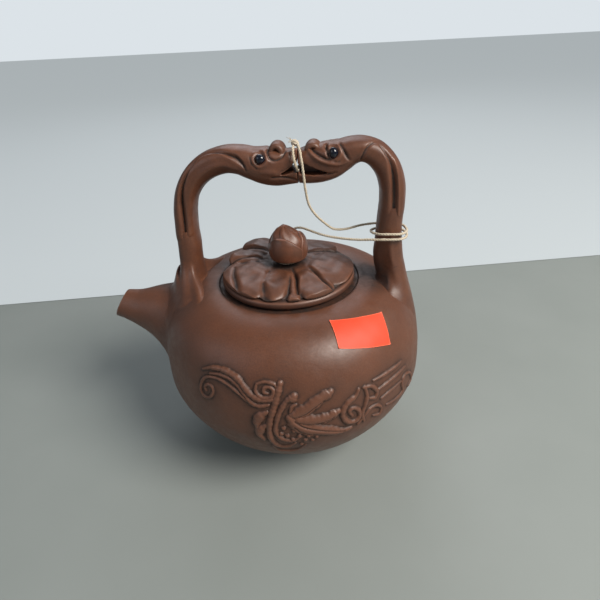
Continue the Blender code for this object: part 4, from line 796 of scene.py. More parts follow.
# Tooled lines: (across mm, up mm, half width mm, depth mm), a negative depth is a raised line
LEFT_LINES = (
    ((-39.9, 96.4, 0.72, 1.30), (-39.3, 101.9, 0.75, 1.60), (-38.9, 107.7, 0.74, 1.70), (-38.5, 112.5, 0.69, 1.60),
     (-37.5, 116.7, 0.60, 1.50), (-35.6, 120.8, 0.52, 1.20), (-33.4, 124.1, 0.40, 1.00), (-30.4, 126.8, 0.33, 0.90),
     (-27.4, 128.3, 0.29, 0.90), (-24.0, 129.0, 0.29, 0.90), (-20.6, 129.0, 0.36, 1.00), (-17.8, 128.2, 0.57, 1.20),
     (-15.4, 126.9, 0.72, 1.20), (-13.8, 125.3, 0.51, 0.80), (-12.7, 123.6, 0.25, 0.30)),
    ((-16.3, 128.4, 0.25, 0.20), (-14.3, 126.7, 0.29, 0.50), (-12.9, 124.7, 0.29, 0.60), (-12.1, 122.2, 0.26, 0.30)),
    ((-39.9, 95.2, 0.36, 1.20), (-37.4, 95.1, 0.44, 1.60), (-34.7, 95.2, 0.36, 1.00)),
    ((-37.8, 97.6, 0.96, -0.30), (-36.7, 105.6, 0.94, -0.35), (-34.9, 113.6, 0.91, -0.35),
     (-31.2, 119.3, 0.89, -0.35), (-26.0, 123.2, 0.88, -0.35), (-20.5, 124.5, 0.87, -0.35),
     (-15.9, 123.0, 0.80, -0.25)),
    ((-11.4, 129.6, 0.36, 0.20), (-9.0, 129.1, 0.36, 0.45), (-6.8, 128.7, 0.36, 0.50), (-5.1, 127.5, 0.32, 0.40)),
    ((-10.3, 127.1, 0.32, 0.20), (-9.7, 125.0, 0.33, 0.35), (-8.1, 123.2, 0.33, 0.20)),
    ((-4.0, 132.2, 0.46, 1.00), (-4.3, 130.5, 0.46, 1.30), (-4.1, 128.7, 0.39, 0.90), (-3.4, 126.8, 0.36, 0.70),
     (-1.7, 125.7, 0.36, 0.60), (0.5, 126.2, 0.36, 0.60), (2.1, 127.7, 0.36, 0.50), (3.1, 129.2, 0.32, 0.30)),
    ((2.0, 132.3, 0.35, 0.80), (3.4, 131.1, 0.35, 0.80), (4.7, 129.7, 0.32, 0.40)),
    ((3.2, 127.5, 0.92, -0.35), (3.9, 125.0, 0.86, -0.30)),
    ((6.1, 125.3, 0.32, 0.30), (4.3, 123.4, 0.36, 0.50), (1.7, 122.0, 0.36, 0.40), (-0.9, 121.0, 0.29, 0.20)),
    ((-2.9, 119.4, 0.29, 0.40), (0.1, 119.5, 0.33, 0.60), (3.0, 119.1, 0.37, 0.60), (5.9, 117.9, 0.37, 0.40)),
    ((-6.4, 121.7, 0.73, -0.20), (-2.7, 121.4, 0.80, -0.30), (0.9, 120.8, 0.58, -0.20)),
)
RIGHT_LINES = (
    ((41.8, 104.1, 1.05, 1.00), (41.6, 110.3, 1.10, 1.40), (41.3, 115.9, 1.08, 1.40), (40.7, 120.6, 0.92, 1.30),
     (39.6, 124.5, 0.63, 1.00), (37.9, 127.3, 0.38, 0.70), (36.2, 129.4, 0.31, 0.60), (34.8, 130.6, 0.31, 0.60),
     (32.9, 130.6, 0.31, 0.60), (31.2, 129.3, 0.31, 0.60), (30.1, 127.5, 0.31, 0.60), (29.1, 125.1, 0.32, 0.30)),
    ((43.5, 104.1, 0.45, -0.30), (43.0, 114.0, 0.43, -0.35), (42.2, 120.6, 0.43, -0.35), (40.9, 124.8, 0.38, -0.25)),
    ((40.6, 103.4, 0.30, 0.40), (42.6, 103.6, 0.37, 1.00), (44.4, 103.2, 0.30, 0.40)),
    ((17.6, 131.9, 0.49, 1.00), (16.9, 130.1, 0.52, 1.50), (17.4, 128.3, 0.42, 0.80), (18.2, 125.9, 0.35, 0.40)),
    ((21.7, 130.8, 0.35, 0.40), (23.2, 128.7, 0.42, 0.80), (24.4, 126.6, 0.42, 0.70), (25.4, 125.2, 0.35, 0.20)),
    ((8.9, 132.0, 0.56, -0.40), (9.5, 130.1, 0.60, -0.60), (11.7, 127.7, 0.64, -0.70), (14.8, 125.6, 0.64, -0.70),
     (18.4, 124.4, 0.60, -0.60), (21.9, 124.0, 0.50, -0.40), (24.7, 125.0, 0.42, -0.15)),
    ((10.7, 129.9, 0.39, 0.60), (13.3, 127.9, 0.42, 0.80), (16.6, 126.1, 0.39, 0.70), (20.1, 125.3, 0.35, 0.40)),
    ((10.1, 132.1, 0.35, 0.60), (10.6, 130.7, 0.35, 0.60), (11.4, 129.5, 0.32, 0.30)),
    ((9.5, 118.0, 0.88, -0.25), (14.7, 118.1, 0.95, -0.35), (19.7, 119.5, 0.87, -0.30), (24.0, 121.3, 0.79, -0.20)),
    ((14.0, 120.3, 0.36, 0.30), (17.6, 120.2, 0.36, 0.50), (20.5, 120.9, 0.32, 0.20)),
)


def face_outwards(mesh):
    """Turns all the faces of a closed mesh outwards."""
    skin = bmesh.new()
    skin.from_mesh(mesh)
    bmesh.ops.recalc_face_normals(skin, faces=skin.faces)
    skin.to_mesh(mesh)
    skin.free()


def loose_solid(name, points, faces):
    """A plain solid that is cut or that cuts, and is gone again before the file ends."""
    mesh = bpy.data.meshes.new(name)
    mesh.from_pydata(points.tolist(), [], faces)
    solid = bpy.data.objects.new(name, mesh)
    bpy.context.scene.collection.objects.link(solid)
    face_outwards(mesh)
    return solid


def cut_and_evened(points, faces, cutters, voxel):
    """Points and faces of a closed skin after its cuts, in even faces of the voxel's size."""
    blank = loose_solid("blank", points, faces)
    for cutter in cutters:
        cut = blank.modifiers.new("cut", "BOOLEAN")
        cut.operation = "DIFFERENCE"
        cut.object = cutter
    even = blank.modifiers.new("even", "REMESH")
    even.mode = "VOXEL"
    even.voxel_size = voxel
    result = blank.evaluated_get(bpy.context.evaluated_depsgraph_get()).to_mesh()
    places = np.array([vertex.co[:] for vertex in result.vertices])
    corners = [list(face.vertices) for face in result.polygons]
    blank.evaluated_get(bpy.context.evaluated_depsgraph_get()).to_mesh_clear()
    for item in [blank] + list(cutters):
        bpy.data.objects.remove(item, do_unlink=True)
    return places, corners


def relaxed(points, pairs, rounds):
    """Points smoothed along the skin without shrinking it."""
    for _ in range(rounds):
        for share in (0.5, -0.52):
            points = points + share * (neighbour_mean(points, pairs, len(points)) - points)
    return points


def arm_rows(line_places, side):
    """Rows along a dragon, the last ones square to the join. Outwards is away from the arch's inside."""
    line = smooth_line(line_places, 12)
    section = round_section(ARM_SECTION, DRAGON_COLUMNS)
    centre = np.stack([SPAN * line[:, 0], np.zeros(len(line)), ARCH_BASE_LEVEL + RISE * line[:, 1]], axis=-1)
    along = np.gradient(centre, axis=0)
    along /= np.linalg.norm(along, axis=1)[:, None]
    square = eased(np.linspace(0.0, 1.0, len(line)), 0.86, 1.0)[:, None]
    along = along * (1.0 - square) + np.array([side, 0.0, 0.0]) * square
    along /= np.linalg.norm(along, axis=1)[:, None]
    outwards = np.stack([-along[:, 2], np.zeros(len(line)), along[:, 0]], axis=-1) * side
    thick = ARM_HALF_THICKNESS * line[:, 2][:, None, None]
    width = ARM_HALF_WIDTH * line[:, 3][:, None]
    rows = centre[:, None] + outwards[:, None] * thick * section[:, :1]
    rows[..., 1] -= width * section[:, 1]
    return rows


def plug(name, outline, near, far):
    """Solid block over a flat outline in millimetres across and up, from one depth to another."""
    flat = np.array(outline) / 1000.0
    ends = [np.stack([flat[:, 0], np.full(len(flat), depth), flat[:, 1]], axis=-1) for depth in (near, far)]
    return loose_solid(name, *closed_skin(np.array(ends)))


def build_dragon(name, node, line_places, side, lines, wedge, spots, finish):
    """One dragon: lofted, cut at the mouth, tooled along its lines and pressed in round each spot."""
    points, faces = closed_skin(arm_rows(line_places, side))
    cutters = [plug(name + "_mouth_front", wedge, -PLUG_DEPTH, -MOUTH_WEB),
               plug(name + "_mouth_back", wedge, MOUTH_WEB, PLUG_DEPTH)]
    angles = np.linspace(0.0, 2.0 * math.pi, 17)[:-1]
    across, up, radius = HEAD_HOLE
    ring = [(across + radius * math.cos(angle), up + 1.1 * radius * math.sin(angle)) for angle in angles]
    cutters.append(plug(name + "_hole", ring, -PLUG_DEPTH, PLUG_DEPTH))
    points, faces = cut_and_evened(points, faces, cutters, DRAGON_VOXEL)
    pairs = edge_pairs(faces)
    points = relaxed(points, pairs, 4)
    facing = facing_of(points, faces)
    flank = eased(np.abs(facing[:, 1]), 0.10, 0.50)
    height = np.clip(worked(points[:, [0, 2]] * 1000.0, lines), -1.9, 1.1) * flank
    for across, up, radius, depth in spots:
        away = np.hypot(points[:, 0] * 1000.0 - across, points[:, 2] * 1000.0 - up)
        height -= flank * (depth * np.exp(-(away / radius) ** 4) - 0.3 * np.exp(-((away - radius * 1.5) / 0.45) ** 2))
    points = relaxed(points + facing * height[:, None] / 1000.0, pairs, 3)
    dragon = add_piece(name, points, faces, finish, [node])
    fine, broad = hollow_and_ridge(points, faces, pairs, 4, 18)
    # Dark slip and painted shade in the hollows
    give_values(dragon, "stain_and_shade", 0.8 * eased(fine, 0.00002, 0.00012) + 0.85 * eased(broad, 0.00006, 0.00045))
    give_values(dragon, "wear_and_highlight", 0.7 * eased(-broad, 0.00015, 0.00060))


# Hollows pressed round the eyes, in millimetres: across, up, radius and depth
LEFT_SPOTS = ((-6.8, 126.3, 1.75, 0.7),)
RIGHT_SPOTS = ((19.6, 128.0, 1.8, 0.7),)
build_dragon(
    "left_dragon_arm", "left_dragon", LEFT_DRAGON_LINE, 1.0, LEFT_LINES, LEFT_MOUTH_WEDGE, LEFT_SPOTS, handle_clay)
build_dragon(
    "right_dragon_arm", "right_dragon", RIGHT_DRAGON_LINE, -1.0, RIGHT_LINES, RIGHT_MOUTH_WEDGE, RIGHT_SPOTS,
    handle_clay)


# ---------------------------------------------------------------------------------------------------------
# Nose curls
# A flat strip of clay rolled up like a scroll and pressed on each snout, so that its coil shows from the
# front and from the back.

CURL_HALF_WIDTH = 0.0042
CURL_STRIP = 0.00150
CURL_START = math.radians(238.0)
CURL_TURNS = 1.22
CURL_ROWS = 110
CURL_COLUMNS = 40
CURL_SECTION = (
    (1, 0), (0.9, 0.7), (0.5, 0.95), (0, 1), (-0.5, 0.95), (-0.9, 0.7), (-1, 0), (-0.9, -0.7), (-0.5, -0.95),
    (0, -1), (0.5, -0.95), (0.9, -0.7))


def build_nose_curl(name, node, centre_x, centre_z, radius, side, finish):
    """Strip rolled inwards, with its coil standing out a little in the middle."""
    turns = np.linspace(0.0, 1.0, CURL_ROWS)
    angle = CURL_START + side * turns * 2.0 * math.pi * CURL_TURNS
    reach = radius * (1.0 - 0.66 * turns) * (1.0 + 0.07 * np.sin(9.0 * turns + 2.0))
    section = round_section(CURL_SECTION, CURL_COLUMNS)
    half = CURL_HALF_WIDTH * (0.92 + 0.10 * turns + 0.05 * np.sin(7.0 * turns))
    thick = CURL_STRIP * (1.0 - 0.35 * turns) * np.minimum(1.0, 6.0 * (1.0 - turns) + 0.35)
    outward = np.stack([np.cos(angle), np.zeros_like(angle), np.sin(angle)], axis=-1)
    centre = np.array([centre_x, 0.0, centre_z]) + outward * reach[:, None]
    rows = centre[:, None] + outward[:, None] * (thick[:, None] * section[:, 0])[..., None]
    rows[..., 1] -= half[:, None] * section[:, 1]
    points, faces = closed_skin(rows)
    curl = add_piece(name, points, faces, finish, [node])
    face_outwards(curl.data)
    # The strip is a little darker all over, with painted shade on its inner side in the coil
    inner = np.clip(-section[:, 0], 0.0, 1.0)[None, :] * np.ones((len(turns), 1))
    give_values(curl, "stain_and_shade", np.concatenate([(0.25 + 0.75 * inner).ravel(), [0.3, 1.0]]))
    give_values(curl, "wear_and_highlight", np.concatenate([(0.4 * (1.0 - inner)).ravel(), [0.0, 0.0]]))


build_nose_curl("left_snout_curl", "left_nose_curl", -0.0013, 0.1281, 0.0026, 1.0, handle_clay)
build_nose_curl("right_snout_curl", "right_nose_curl", 0.0124, 0.1283, 0.0022, -1.0, handle_clay)


# ---------------------------------------------------------------------------------------------------------
# Eyes
# Beads of near-black glazed ceramic set in wet clay on both flanks of each head. They are fired glossy and
# are not quite round.

EYE_RADIUS = 0.0018
EYE_COLUMNS = 32


def glazed_bead(name):
    """Near-black glazed ceramic: a deep blue-black with a hard, wet-looking shine."""
    finish, tree, shader = new_finish(name)
    place = add_node(tree, "ShaderNodeTexCoord").outputs["Object"]
    depth = add_node(tree, "ShaderNodeTexNoise", values={
        "Scale": per_metre(0.8), "Detail": 2.0}, links={"Vector": place})
    tones = add_node(tree, "ShaderNodeValToRGB", links={"Fac": depth.outputs["Fac"]})
    tones.color_ramp.elements[0].color = linear("07080D")
    tones.color_ramp.elements[1].color = linear("141A2C")
    tree.links.new(tones.outputs["Color"], shader.inputs["Base Color"])
    smooth = add_node(tree, "ShaderNodeMapRange", values={"To Min": 0.07, "To Max": 0.16}, links={
        "Value": depth.outputs["Fac"]})
    tree.links.new(smooth.outputs["Result"], shader.inputs["Roughness"])
    shader.inputs["IOR"].default_value = 1.55
    return finish


def build_eye(name, node, centre_x, centre_z, tallness, front, finish):
    """Bead pressed in, a little flatter at its face and taller than wide."""
    up = np.linspace(-math.pi / 2.0, math.pi / 2.0, 21)[1:-1, None]
    round_it = np.arange(EYE_COLUMNS) * 2.0 * math.pi / EYE_COLUMNS
    bulge = 1.0 + 0.05 * np.sin(3.0 * round_it + 1.1) * np.cos(up)
    side = EYE_RADIUS * np.cos(up) * np.cos(round_it) * bulge
    level = EYE_RADIUS * np.cos(up) * np.sin(round_it) * bulge * tallness
    side = side * (2.0 - tallness) - 0.16 * (tallness - 1.0) * level
    depth = -front * EYE_RADIUS * 0.92 * np.sin(up) * np.ones(EYE_COLUMNS)
    rows = np.stack([centre_x + side, -front * ARM_HALF_WIDTH * 0.93 + depth, centre_z + level], axis=-1)
    points, faces = closed_skin(rows)
    eye = add_piece(name, points, faces, finish, [node], slot="inlay_bead")
    face_outwards(eye.data)


bead_glaze = glazed_bead("blue_black_bead_glaze")
for facing, label in ((1.0, "front"), (-1.0, "back")):
    build_eye("left_bead_" + label, "left_eye_" + label, -0.0067, 0.1263, 1.0, facing, bead_glaze)
    build_eye("right_bead_" + label, "right_eye_" + label, 0.0197, 0.1278, 1.14, facing, bead_glaze)


# ---------------------------------------------------------------------------------------------------------
# Applied relief
# Scrolls, tendrils, leaves and buds of the same clay, rolled or pressed thin, laid on the leather-hard wall and
# blended in at their edges. The same drawing stands on the front and on the back.

# The sheet's mesh size and the margin round a piece's strokes, in millimetres
RELIEF_CELL = 0.27
RELIEF_MARGIN = 1.0
RELIEF_STROKES = (
    # label, strokes: each place is millimetres across from the front, millimetres up from the belly, half width
    ("upper_tendril", (
        ((-30.3, 22.9, 0.34), (-26.1, 24.8, 0.81), (-21.6, 25.5, 1.15), (-17.4, 25.0, 1.28), (-13.8, 23.4, 1.35),
         (-11.3, 20.8, 1.28), (-8.5, 18.2, 1.28), (-5.2, 17.0, 1.22), (-1.3, 17.2, 0.81), (0.1, 18.2, 0.41)),
        ((-26.6, 22.5, 0.34), (-22.0, 23.4, 0.61), (-17.9, 23.1, 0.74), (-14.3, 21.4, 0.81), (-11.4, 18.4, 0.81),
         (-9.0, 15.6, 0.88), (-6.0, 14.3, 0.88), (-2.5, 15.1, 0.54)))),
    ("lower_tendril", (
        ((-10.3, 15.8, 0.34), (-13.3, 18.0, 0.54), (-17.1, 20.2, 0.54), (-21.4, 21.5, 0.54), (-25.2, 21.4, 0.54),
         (-28.5, 20.2, 0.61), (-30.5, 17.3, 0.61), (-30.9, 14.0, 0.61), (-29.3, 12.0, 0.61), (-26.5, 12.6, 0.61),
         (-24.7, 15.3, 0.61), (-25.1, 17.5, 0.54), (-27.1, 17.9, 0.54), (-28.7, 16.3, 0.54), (-27.9, 14.9, 0.41)),)),
    ("small_curl", (
        ((-6.7, 22.7, 0.41), (-7.1, 20.4, 0.74), (-5.7, 18.3, 0.81), (-3.5, 17.7, 0.81), (-1.1, 18.5, 0.81),
         (-0.4, 20.7, 0.74), (-1.9, 22.0, 0.68), (-3.8, 21.5, 0.68), (-3.9, 19.9, 0.61), (-2.6, 19.6, 0.47)),
        ((-6.7, 22.8, 0.41), (-3.7, 23.8, 0.61), (-0.4, 23.2, 0.61), (0.6, 22.2, 0.34)))),
    ("outer_scroll", (
        ((2.1, 23.5, 1.01), (1.4, 20.9, 1.28), (0.4, 17.2, 1.22), (-0.8, 13.3, 1.15), (-2.1, 9.0, 1.15),
         (-2.9, 3.9, 1.15), (-2.4, -1.4, 1.08), (-0.2, -5.4, 0.95), (3.2, -5.9, 0.74), (6.2, -3.3, 0.41)),
        ((-2.4, -5.1, 0.34), (-0.8, -9.9, 0.61), (3.0, -10.8, 0.68), (7.0, -9.5, 0.61), (10.0, -5.5, 0.34)))),
    ("inner_scroll", (
        ((6.9, 18.6, 1.35), (6.3, 17.9, 1.82), (4.2, 16.9, 1.01), (2.6, 14.5, 0.95), (1.1, 11.5, 0.95),
         (-0.0, 7.7, 0.88), (-0.6, 3.6, 0.88), (0.5, 0.6, 0.88), (2.7, -1.1, 0.81), (5.3, -1.7, 0.68),
         (7.5, -0.1, 0.41)),
        ((7.4, 15.2, 0.41), (5.9, 14.4, 0.68), (5.2, 12.4, 0.61)))),
    ("side_lobe", (
        ((-3.1, 12.0, 0.54), (-5.4, 10.3, 1.69), (-7.1, 7.4, 1.76), (-7.1, 4.4, 0.81)),
        ((-3.5, 6.3, 0.54), (-5.5, 4.5, 1.49), (-6.8, 1.6, 1.49), (-5.2, -1.4, 0.68)))),
    ("upper_blade", (
        ((20.3, 18.4, 1.08), (19.1, 17.7, 1.89), (16.3, 16.6, 2.09), (13.6, 14.7, 2.36), (11.0, 12.8, 2.57),
         (8.0, 11.4, 2.43), (5.6, 10.7, 1.35)),)),
    ("lower_blade", (
        ((4.9, 9.6, 1.5), (6.8, 6.4, 2.7), (9.8, 4.1, 3.0), (14.2, 2.6, 2.8), (19.3, 0.9, 2.2),
         (24.3, -0.7, 1.3), (27.6, -0.6, 0.5)),)),
    ("leaf_bud", (
        ((22.4, 9.4, 1.1), (21.0, 8.9, 1.8), (18.6, 8.0, 2.1), (15.5, 7.6, 2.3), (11.6, 7.8, 2.4),
         (8.0, 8.6, 1.9)),)),
    ("bud_sprig", (
        ((2.7, 5.2, 0.54), (2.5, 5.0, 0.81)), ((1.2, 2.3, 0.54), (1.3, 2.1, 0.81)),
        ((3.2, 1.3, 0.54), (3.4, 1.2, 0.88)), ((5.8, 3.7, 0.54), (5.9, 3.5, 0.74)),
        ((5.2, -0.6, 0.54), (5.3, -0.8, 0.88)), ((7.9, 1.0, 0.54), (7.9, 0.9, 0.88)),
        ((9.7, -1.3, 0.54), (9.8, -1.4, 0.88)), ((8.3, -4.2, 0.54), (8.4, -4.4, 0.74)),
        ((11.0, 0.8, 0.54), (11.1, 0.6, 0.81)), ((12.4, -2.1, 0.54), (12.5, -2.2, 0.74)),
        ((14.1, -0.5, 0.54), (14.1, -0.6, 0.68)))),
    ("right_curl", (
        ((31.1, 15.9, 0.54), (29.6, 13.7, 0.88), (26.4, 11.9, 1.15), (24.5, 9.4, 1.15), (24.3, 6.0, 1.08),
         (26.4, 2.8, 1.08), (29.4, 2.1, 1.01), (31.1, 3.9, 0.95), (30.5, 6.9, 0.88), (28.3, 8.7, 0.81),
         (26.8, 7.6, 0.74), (27.9, 5.3, 0.54)),)),
    ("far_curl", (
        ((33.7, 15.9, 0.54), (34.4, 11.6, 0.88), (33.4, 7.5, 0.88), (32.2, 4.2, 0.81), (33.1, -0.0, 0.54)),
        ((33.1, 15.7, 0.47), (36.7, 14.7, 0.81), (39.1, 11.5, 0.88), (38.1, 9.1, 0.81), (35.7, 9.8, 0.54)),
        ((30.3, -0.1, 0.41), (33.1, 2.6, 0.61), (35.7, 4.8, 0.68), (39.0, 4.8, 0.68), (41.4, 2.0, 0.61),
         (40.5, -0.6, 0.61), (37.4, 0.4, 0.47)))),
    ("long_leaf", (
        ((37.8, 16.6, 0.41), (43.6, 16.5, 0.68), (49.8, 16.3, 0.68), (54.2, 16.2, 0.34)),
        ((39.5, 11.7, 0.41), (44.2, 12.1, 0.68), (50.8, 12.4, 0.68), (57.0, 12.4, 0.34)),
        ((41.2, 6.8, 0.41), (46.2, 7.4, 0.61), (53.5, 7.4, 0.34)))),
    ("edge_curl", (
        ((44.5, 1.5, 0.34), (51.4, 0.5, 0.61), (55.3, 1.4, 0.68), (54.4, 6.2, 0.68), (57.0, 8.4, 0.68),
         (61.7, 5.8, 0.61), (63.8, 1.1, 0.54), (60.7, -0.3, 0.41)),)),
)
# Thin lines scored along some pieces: across, up, half width and depth, all in millimetres
RELIEF_SCORES = {
    "lower_blade": (
        ((6.6, 8.3, 0.22, 0.5), (9.6, 5.4, 0.22, 0.6), (14.2, 3.3, 0.22, 0.6), (19.5, 1.3, 0.2, 0.5),
         (24.9, -0.7, 0.2, 0.3)),
        ((6.4, 5.7, 0.2, 0.4), (9.2, 2.6, 0.2, 0.5), (14.0, 0.8, 0.2, 0.5), (19.2, -0.9, 0.2, 0.4),
         (23.9, -1.9, 0.2, 0.2))),
    "leaf_bud": (
        ((9.0, 6.8, 0.2, 0.4), (13.0, 5.8, 0.22, 0.5), (17.4, 6.3, 0.22, 0.5), (20.5, 7.7, 0.2, 0.3)),),
    "upper_blade": (
        ((16.0, 14.8, 0.2, 0.3), (13.2, 13.0, 0.22, 0.45), (10.6, 11.2, 0.22, 0.45), (8.0, 10.3, 0.2, 0.3)),),
}


def stroke_line(stroke):
    """A stroke as close-set places across and up, each with its half width."""
    steps = max(3, int(np.hypot(*np.diff(np.array(stroke)[:, :2], axis=0).T).max() / 0.22))
    return smooth_line(stroke, steps)


def relief_height(flat, strokes, scores):
    """Height over the wall, in millimetres, of a piece of relief at flat places."""
    height = np.full(len(flat), -0.6)
    for stroke in strokes:
        line = stroke_line(stroke)
        away, pick = nearest_on(flat, line)
        half = line[pick, 2]
        half = half * (1.0 + 0.10 * np.sin(0.23 * pick + 2.0 * half) + 0.06 * np.sin(0.61 * pick))
        top = np.minimum(0.34 + 0.46 * half, 1.12)
        share = away / (half + 0.22)
        here = np.maximum(top * (1.0 - share ** 2.0), -0.6)
        blend = np.clip(0.5 + (here - height) / 0.3, 0.0, 1.0)
        height = height * (1.0 - blend) + here * blend + 0.15 * blend * (1.0 - blend)
    for score in scores:
        line = smooth_line(score, 12)
        away, pick = nearest_on(flat, line[:, :2])
        width, depth = line[pick, 2], line[pick, 3]
        height -= depth * np.exp(-(away / (1.2 * width)) ** 2) * (height > 0.0)
    return height


def build_relief(side, label, strokes, facing_turn, finish):
    """One applied piece as a fine sheet that rises from under the wall's surface and sinks back into it."""
    places = np.array([place[:2] for stroke in strokes for place in stroke])
    half = max(place[2] for stroke in strokes for place in stroke)
    low = places.min(axis=0) - half - RELIEF_MARGIN
    high = places.max(axis=0) + half + RELIEF_MARGIN
    across = np.arange(low[0], high[0], RELIEF_CELL)
    up = np.arange(low[1], high[1], RELIEF_CELL)
    flat = np.stack(np.meshgrid(across, up), axis=-1).reshape(-1, 2)
    height = relief_height(flat, strokes, RELIEF_SCORES.get(label, ()))
    faces = grid_faces(len(up), len(across), round_again=False)
    faces = faces[(height[faces] > -0.10).any(axis=1)]
    used, faces = np.unique(faces, return_inverse=True)
    faces = faces.reshape(-1, 4)
    flat, height = flat[used], height[used]
    turn = facing_turn + flat[:, 0] / 1000.0 / BELLY_RADIUS
    points = on_pot(turn, flat[:, 1] / 1000.0, np.maximum(height, -0.25) / 1000.0)
    piece = add_piece(side + "_clay_" + label, points, faces, finish, [side + "_" + label])
    corners = faces.tolist()
    fine, _ = hollow_and_ridge(points, corners, edge_pairs(corners), 2, 8)
    # Dark slip and painted shade at the foot of the relief, where it meets the wall, and in its hollows
    foot = 1.0 - eased(height, 0.05, 0.55)
    give_values(piece, "stain_and_shade", np.maximum(0.95 * foot, eased(fine, 0.00001, 0.00008)) * 0.9)
    give_values(piece, "wear_and_highlight", 0.30 * eased(height, 0.5, 1.1) + 0.30 * eased(-fine, 0.00001, 0.00005))


relief_clay = unglazed_stoneware(
    "applied_brown_stoneware", CLAY, "653D29", CLAY_STAIN_AND_SHADE, "734C3A", roughness=0.47, mottling=5.0)
for facing, facing_turn in (("front", 0.0), ("back", math.pi)):
    for label, strokes in RELIEF_STROKES:
        build_relief(facing, label, strokes, facing_turn, relief_clay)


def paint_wall_stain_and_shade(wall):
    """Dark slip and painted shade on the wall round the relief, the feet and spout, in the lid's recess and over the
    foot, painted shade where the right foot turns in to the lid, a darker inside, and a painted highlight on the
    recess's edge.
    """
    places = points_of(wall)
    turn, climb, lift = above_pot(places)
    outside = lift > -0.0006
    stain_and_shade = np.zeros(len(places))
    lines = [stroke_line(stroke) for _, strokes in RELIEF_STROKES for stroke in strokes]
    line = np.vstack(lines)
    # Dark slip and painted shade round the relief's strokes, close in and more faintly further out
    for facing_turn in (0.0, math.pi):
        aside = (turn - facing_turn + math.pi) % (2.0 * math.pi) - math.pi
        flat = np.stack([aside * BELLY_RADIUS * 1000.0, climb * 1000.0], axis=-1)
        near = outside & (flat[:, 0] > -40.0) & (flat[:, 0] < 74.0) & (flat[:, 1] > -20.0) & (flat[:, 1] < 38.0)
        away, pick = nearest_on(flat[near], line)
        gap = np.maximum(away - line[pick, 2], 0.0)
        stain_and_shade[near] = np.maximum(stain_and_shade[near], 0.62 * np.exp(-(gap / 0.8) ** 2) + 0.26 * np.exp(-(gap / 3.6) ** 2))
    reach = np.hypot(places[:, 0], places[:, 1])
    # Dark slip and painted shade in the lid's recess
    recess = eased(places[:, 2], SEAT_LEVEL - 0.004, SEAT_LEVEL) * (1.0 - eased(reach, 0.0292, 0.0310))
    stain_and_shade = np.maximum(stain_and_shade, 0.9 * recess)
    # The inside of the pot is darker
    inside = (lift < -0.0015) & (places[:, 2] < SEAT_LEVEL - 0.001)
    stain_and_shade[inside] = 0.55
    # Darker round the spout's root
    spout_away = np.hypot(places[:, 1], places[:, 2] - SPOUT_ROOT_LEVEL)
    root = (places[:, 0] < -0.03) * np.exp(-((spout_away - 0.0185) / 0.0035) ** 2)
    # Dark slip and painted shade round the left foot, and painted shade on the side of the right foot that turns in to
    # the lid
    feet = 0.5 * np.exp(-(np.hypot((places[:, 0] + 0.0395) / 0.011, (np.abs(places[:, 1]) - 0.008) / 0.017)) ** 4)
    inner_side = np.hypot((places[:, 0] - 0.0345) / 0.008, (places[:, 1] + 0.001) / 0.012)
    feet = np.maximum(feet, 0.8 * np.exp(-inner_side ** 4))
    stain_and_shade = np.maximum(stain_and_shade, np.where(outside, np.maximum(0.38 * root, feet), 0.0))
    give_values(wall, "stain_and_shade", stain_and_shade)
    # Painted highlight: a paler ring along the edge of the lid's recess
    give_values(wall, "wear_and_highlight", 0.5 * np.exp(-((reach - 0.0302) / 0.0006) ** 2) * (places[:, 2] > SEAT_LEVEL + 0.0012))


paint_wall_stain_and_shade(pot_wall)


# ---------------------------------------------------------------------------------------------------------
# Lid disc and flange
# A flat disc of brown stoneware with a rubbed rim, pierced by the vent, and under it the ring that drops into
# the pot's mouth. Both are turned while leather hard and luted together.

LID_RADIUS = 0.0278
LID_BASE = 0.0753
LID_THICKNESS = 0.0036
LID_DOME = 0.0012
VENT_RADIUS = 0.0009
FLANGE_OUTER = 0.0212
FLANGE_WALL = 0.0025
FLANGE_TOP = 0.0750
FLANGE_DEPTH = 0.0076
LID_COLUMNS = 220
FLANGE_COLUMNS = 180

lid_clay = unglazed_stoneware(
    "turned_brown_stoneware", "543528", "633C2A", CLAY_STAIN_AND_SHADE, "7A513C", roughness=0.45, mottling=8.0)
lid_top = LID_BASE + LID_THICKNESS
lid_profile = softened([
    (VENT_RADIUS, LID_BASE), (0.0120, LID_BASE), (0.0230, LID_BASE), (LID_RADIUS - 0.0012, LID_BASE),
    (LID_RADIUS - 0.0001, LID_BASE + 0.0010), (LID_RADIUS, LID_BASE + 0.0020), (LID_RADIUS - 0.0002, lid_top - 0.0007),
    (LID_RADIUS - 0.0013, lid_top + 0.0001), (0.0220, lid_top + 0.0003), (0.0150, lid_top + 0.0008),
    (VENT_RADIUS, lid_top + LID_DOME), (VENT_RADIUS, LID_BASE)])
lid_rows = turned_rows(lid_profile[:-1], LID_COLUMNS)
lid_disc = add_piece("lid_plate", lid_rows, tube_faces(lid_rows), lid_clay, ["lid_disc"], "lid")
lid_points = points_of(lid_disc)
lid_reach = np.hypot(lid_points[:, 0], lid_points[:, 1])
# Painted shade on the top under the leaf, and on the rim and underside, darker towards the base
give_values(lid_disc, "stain_and_shade", np.where(
    lid_points[:, 2] > lid_top - 0.0008, 0.95 * (1.0 - eased(lid_reach, 0.0262, 0.0272)),
    0.35 + 0.4 * (1.0 - eased(lid_points[:, 2], LID_BASE, LID_BASE + 0.0014))))
lid_rim = np.exp(-((lid_reach - 0.0274) / 0.0004) ** 2)
give_values(lid_disc, "wear_and_highlight", 0.5 * lid_rim * (lid_points[:, 2] > lid_top - 0.001))

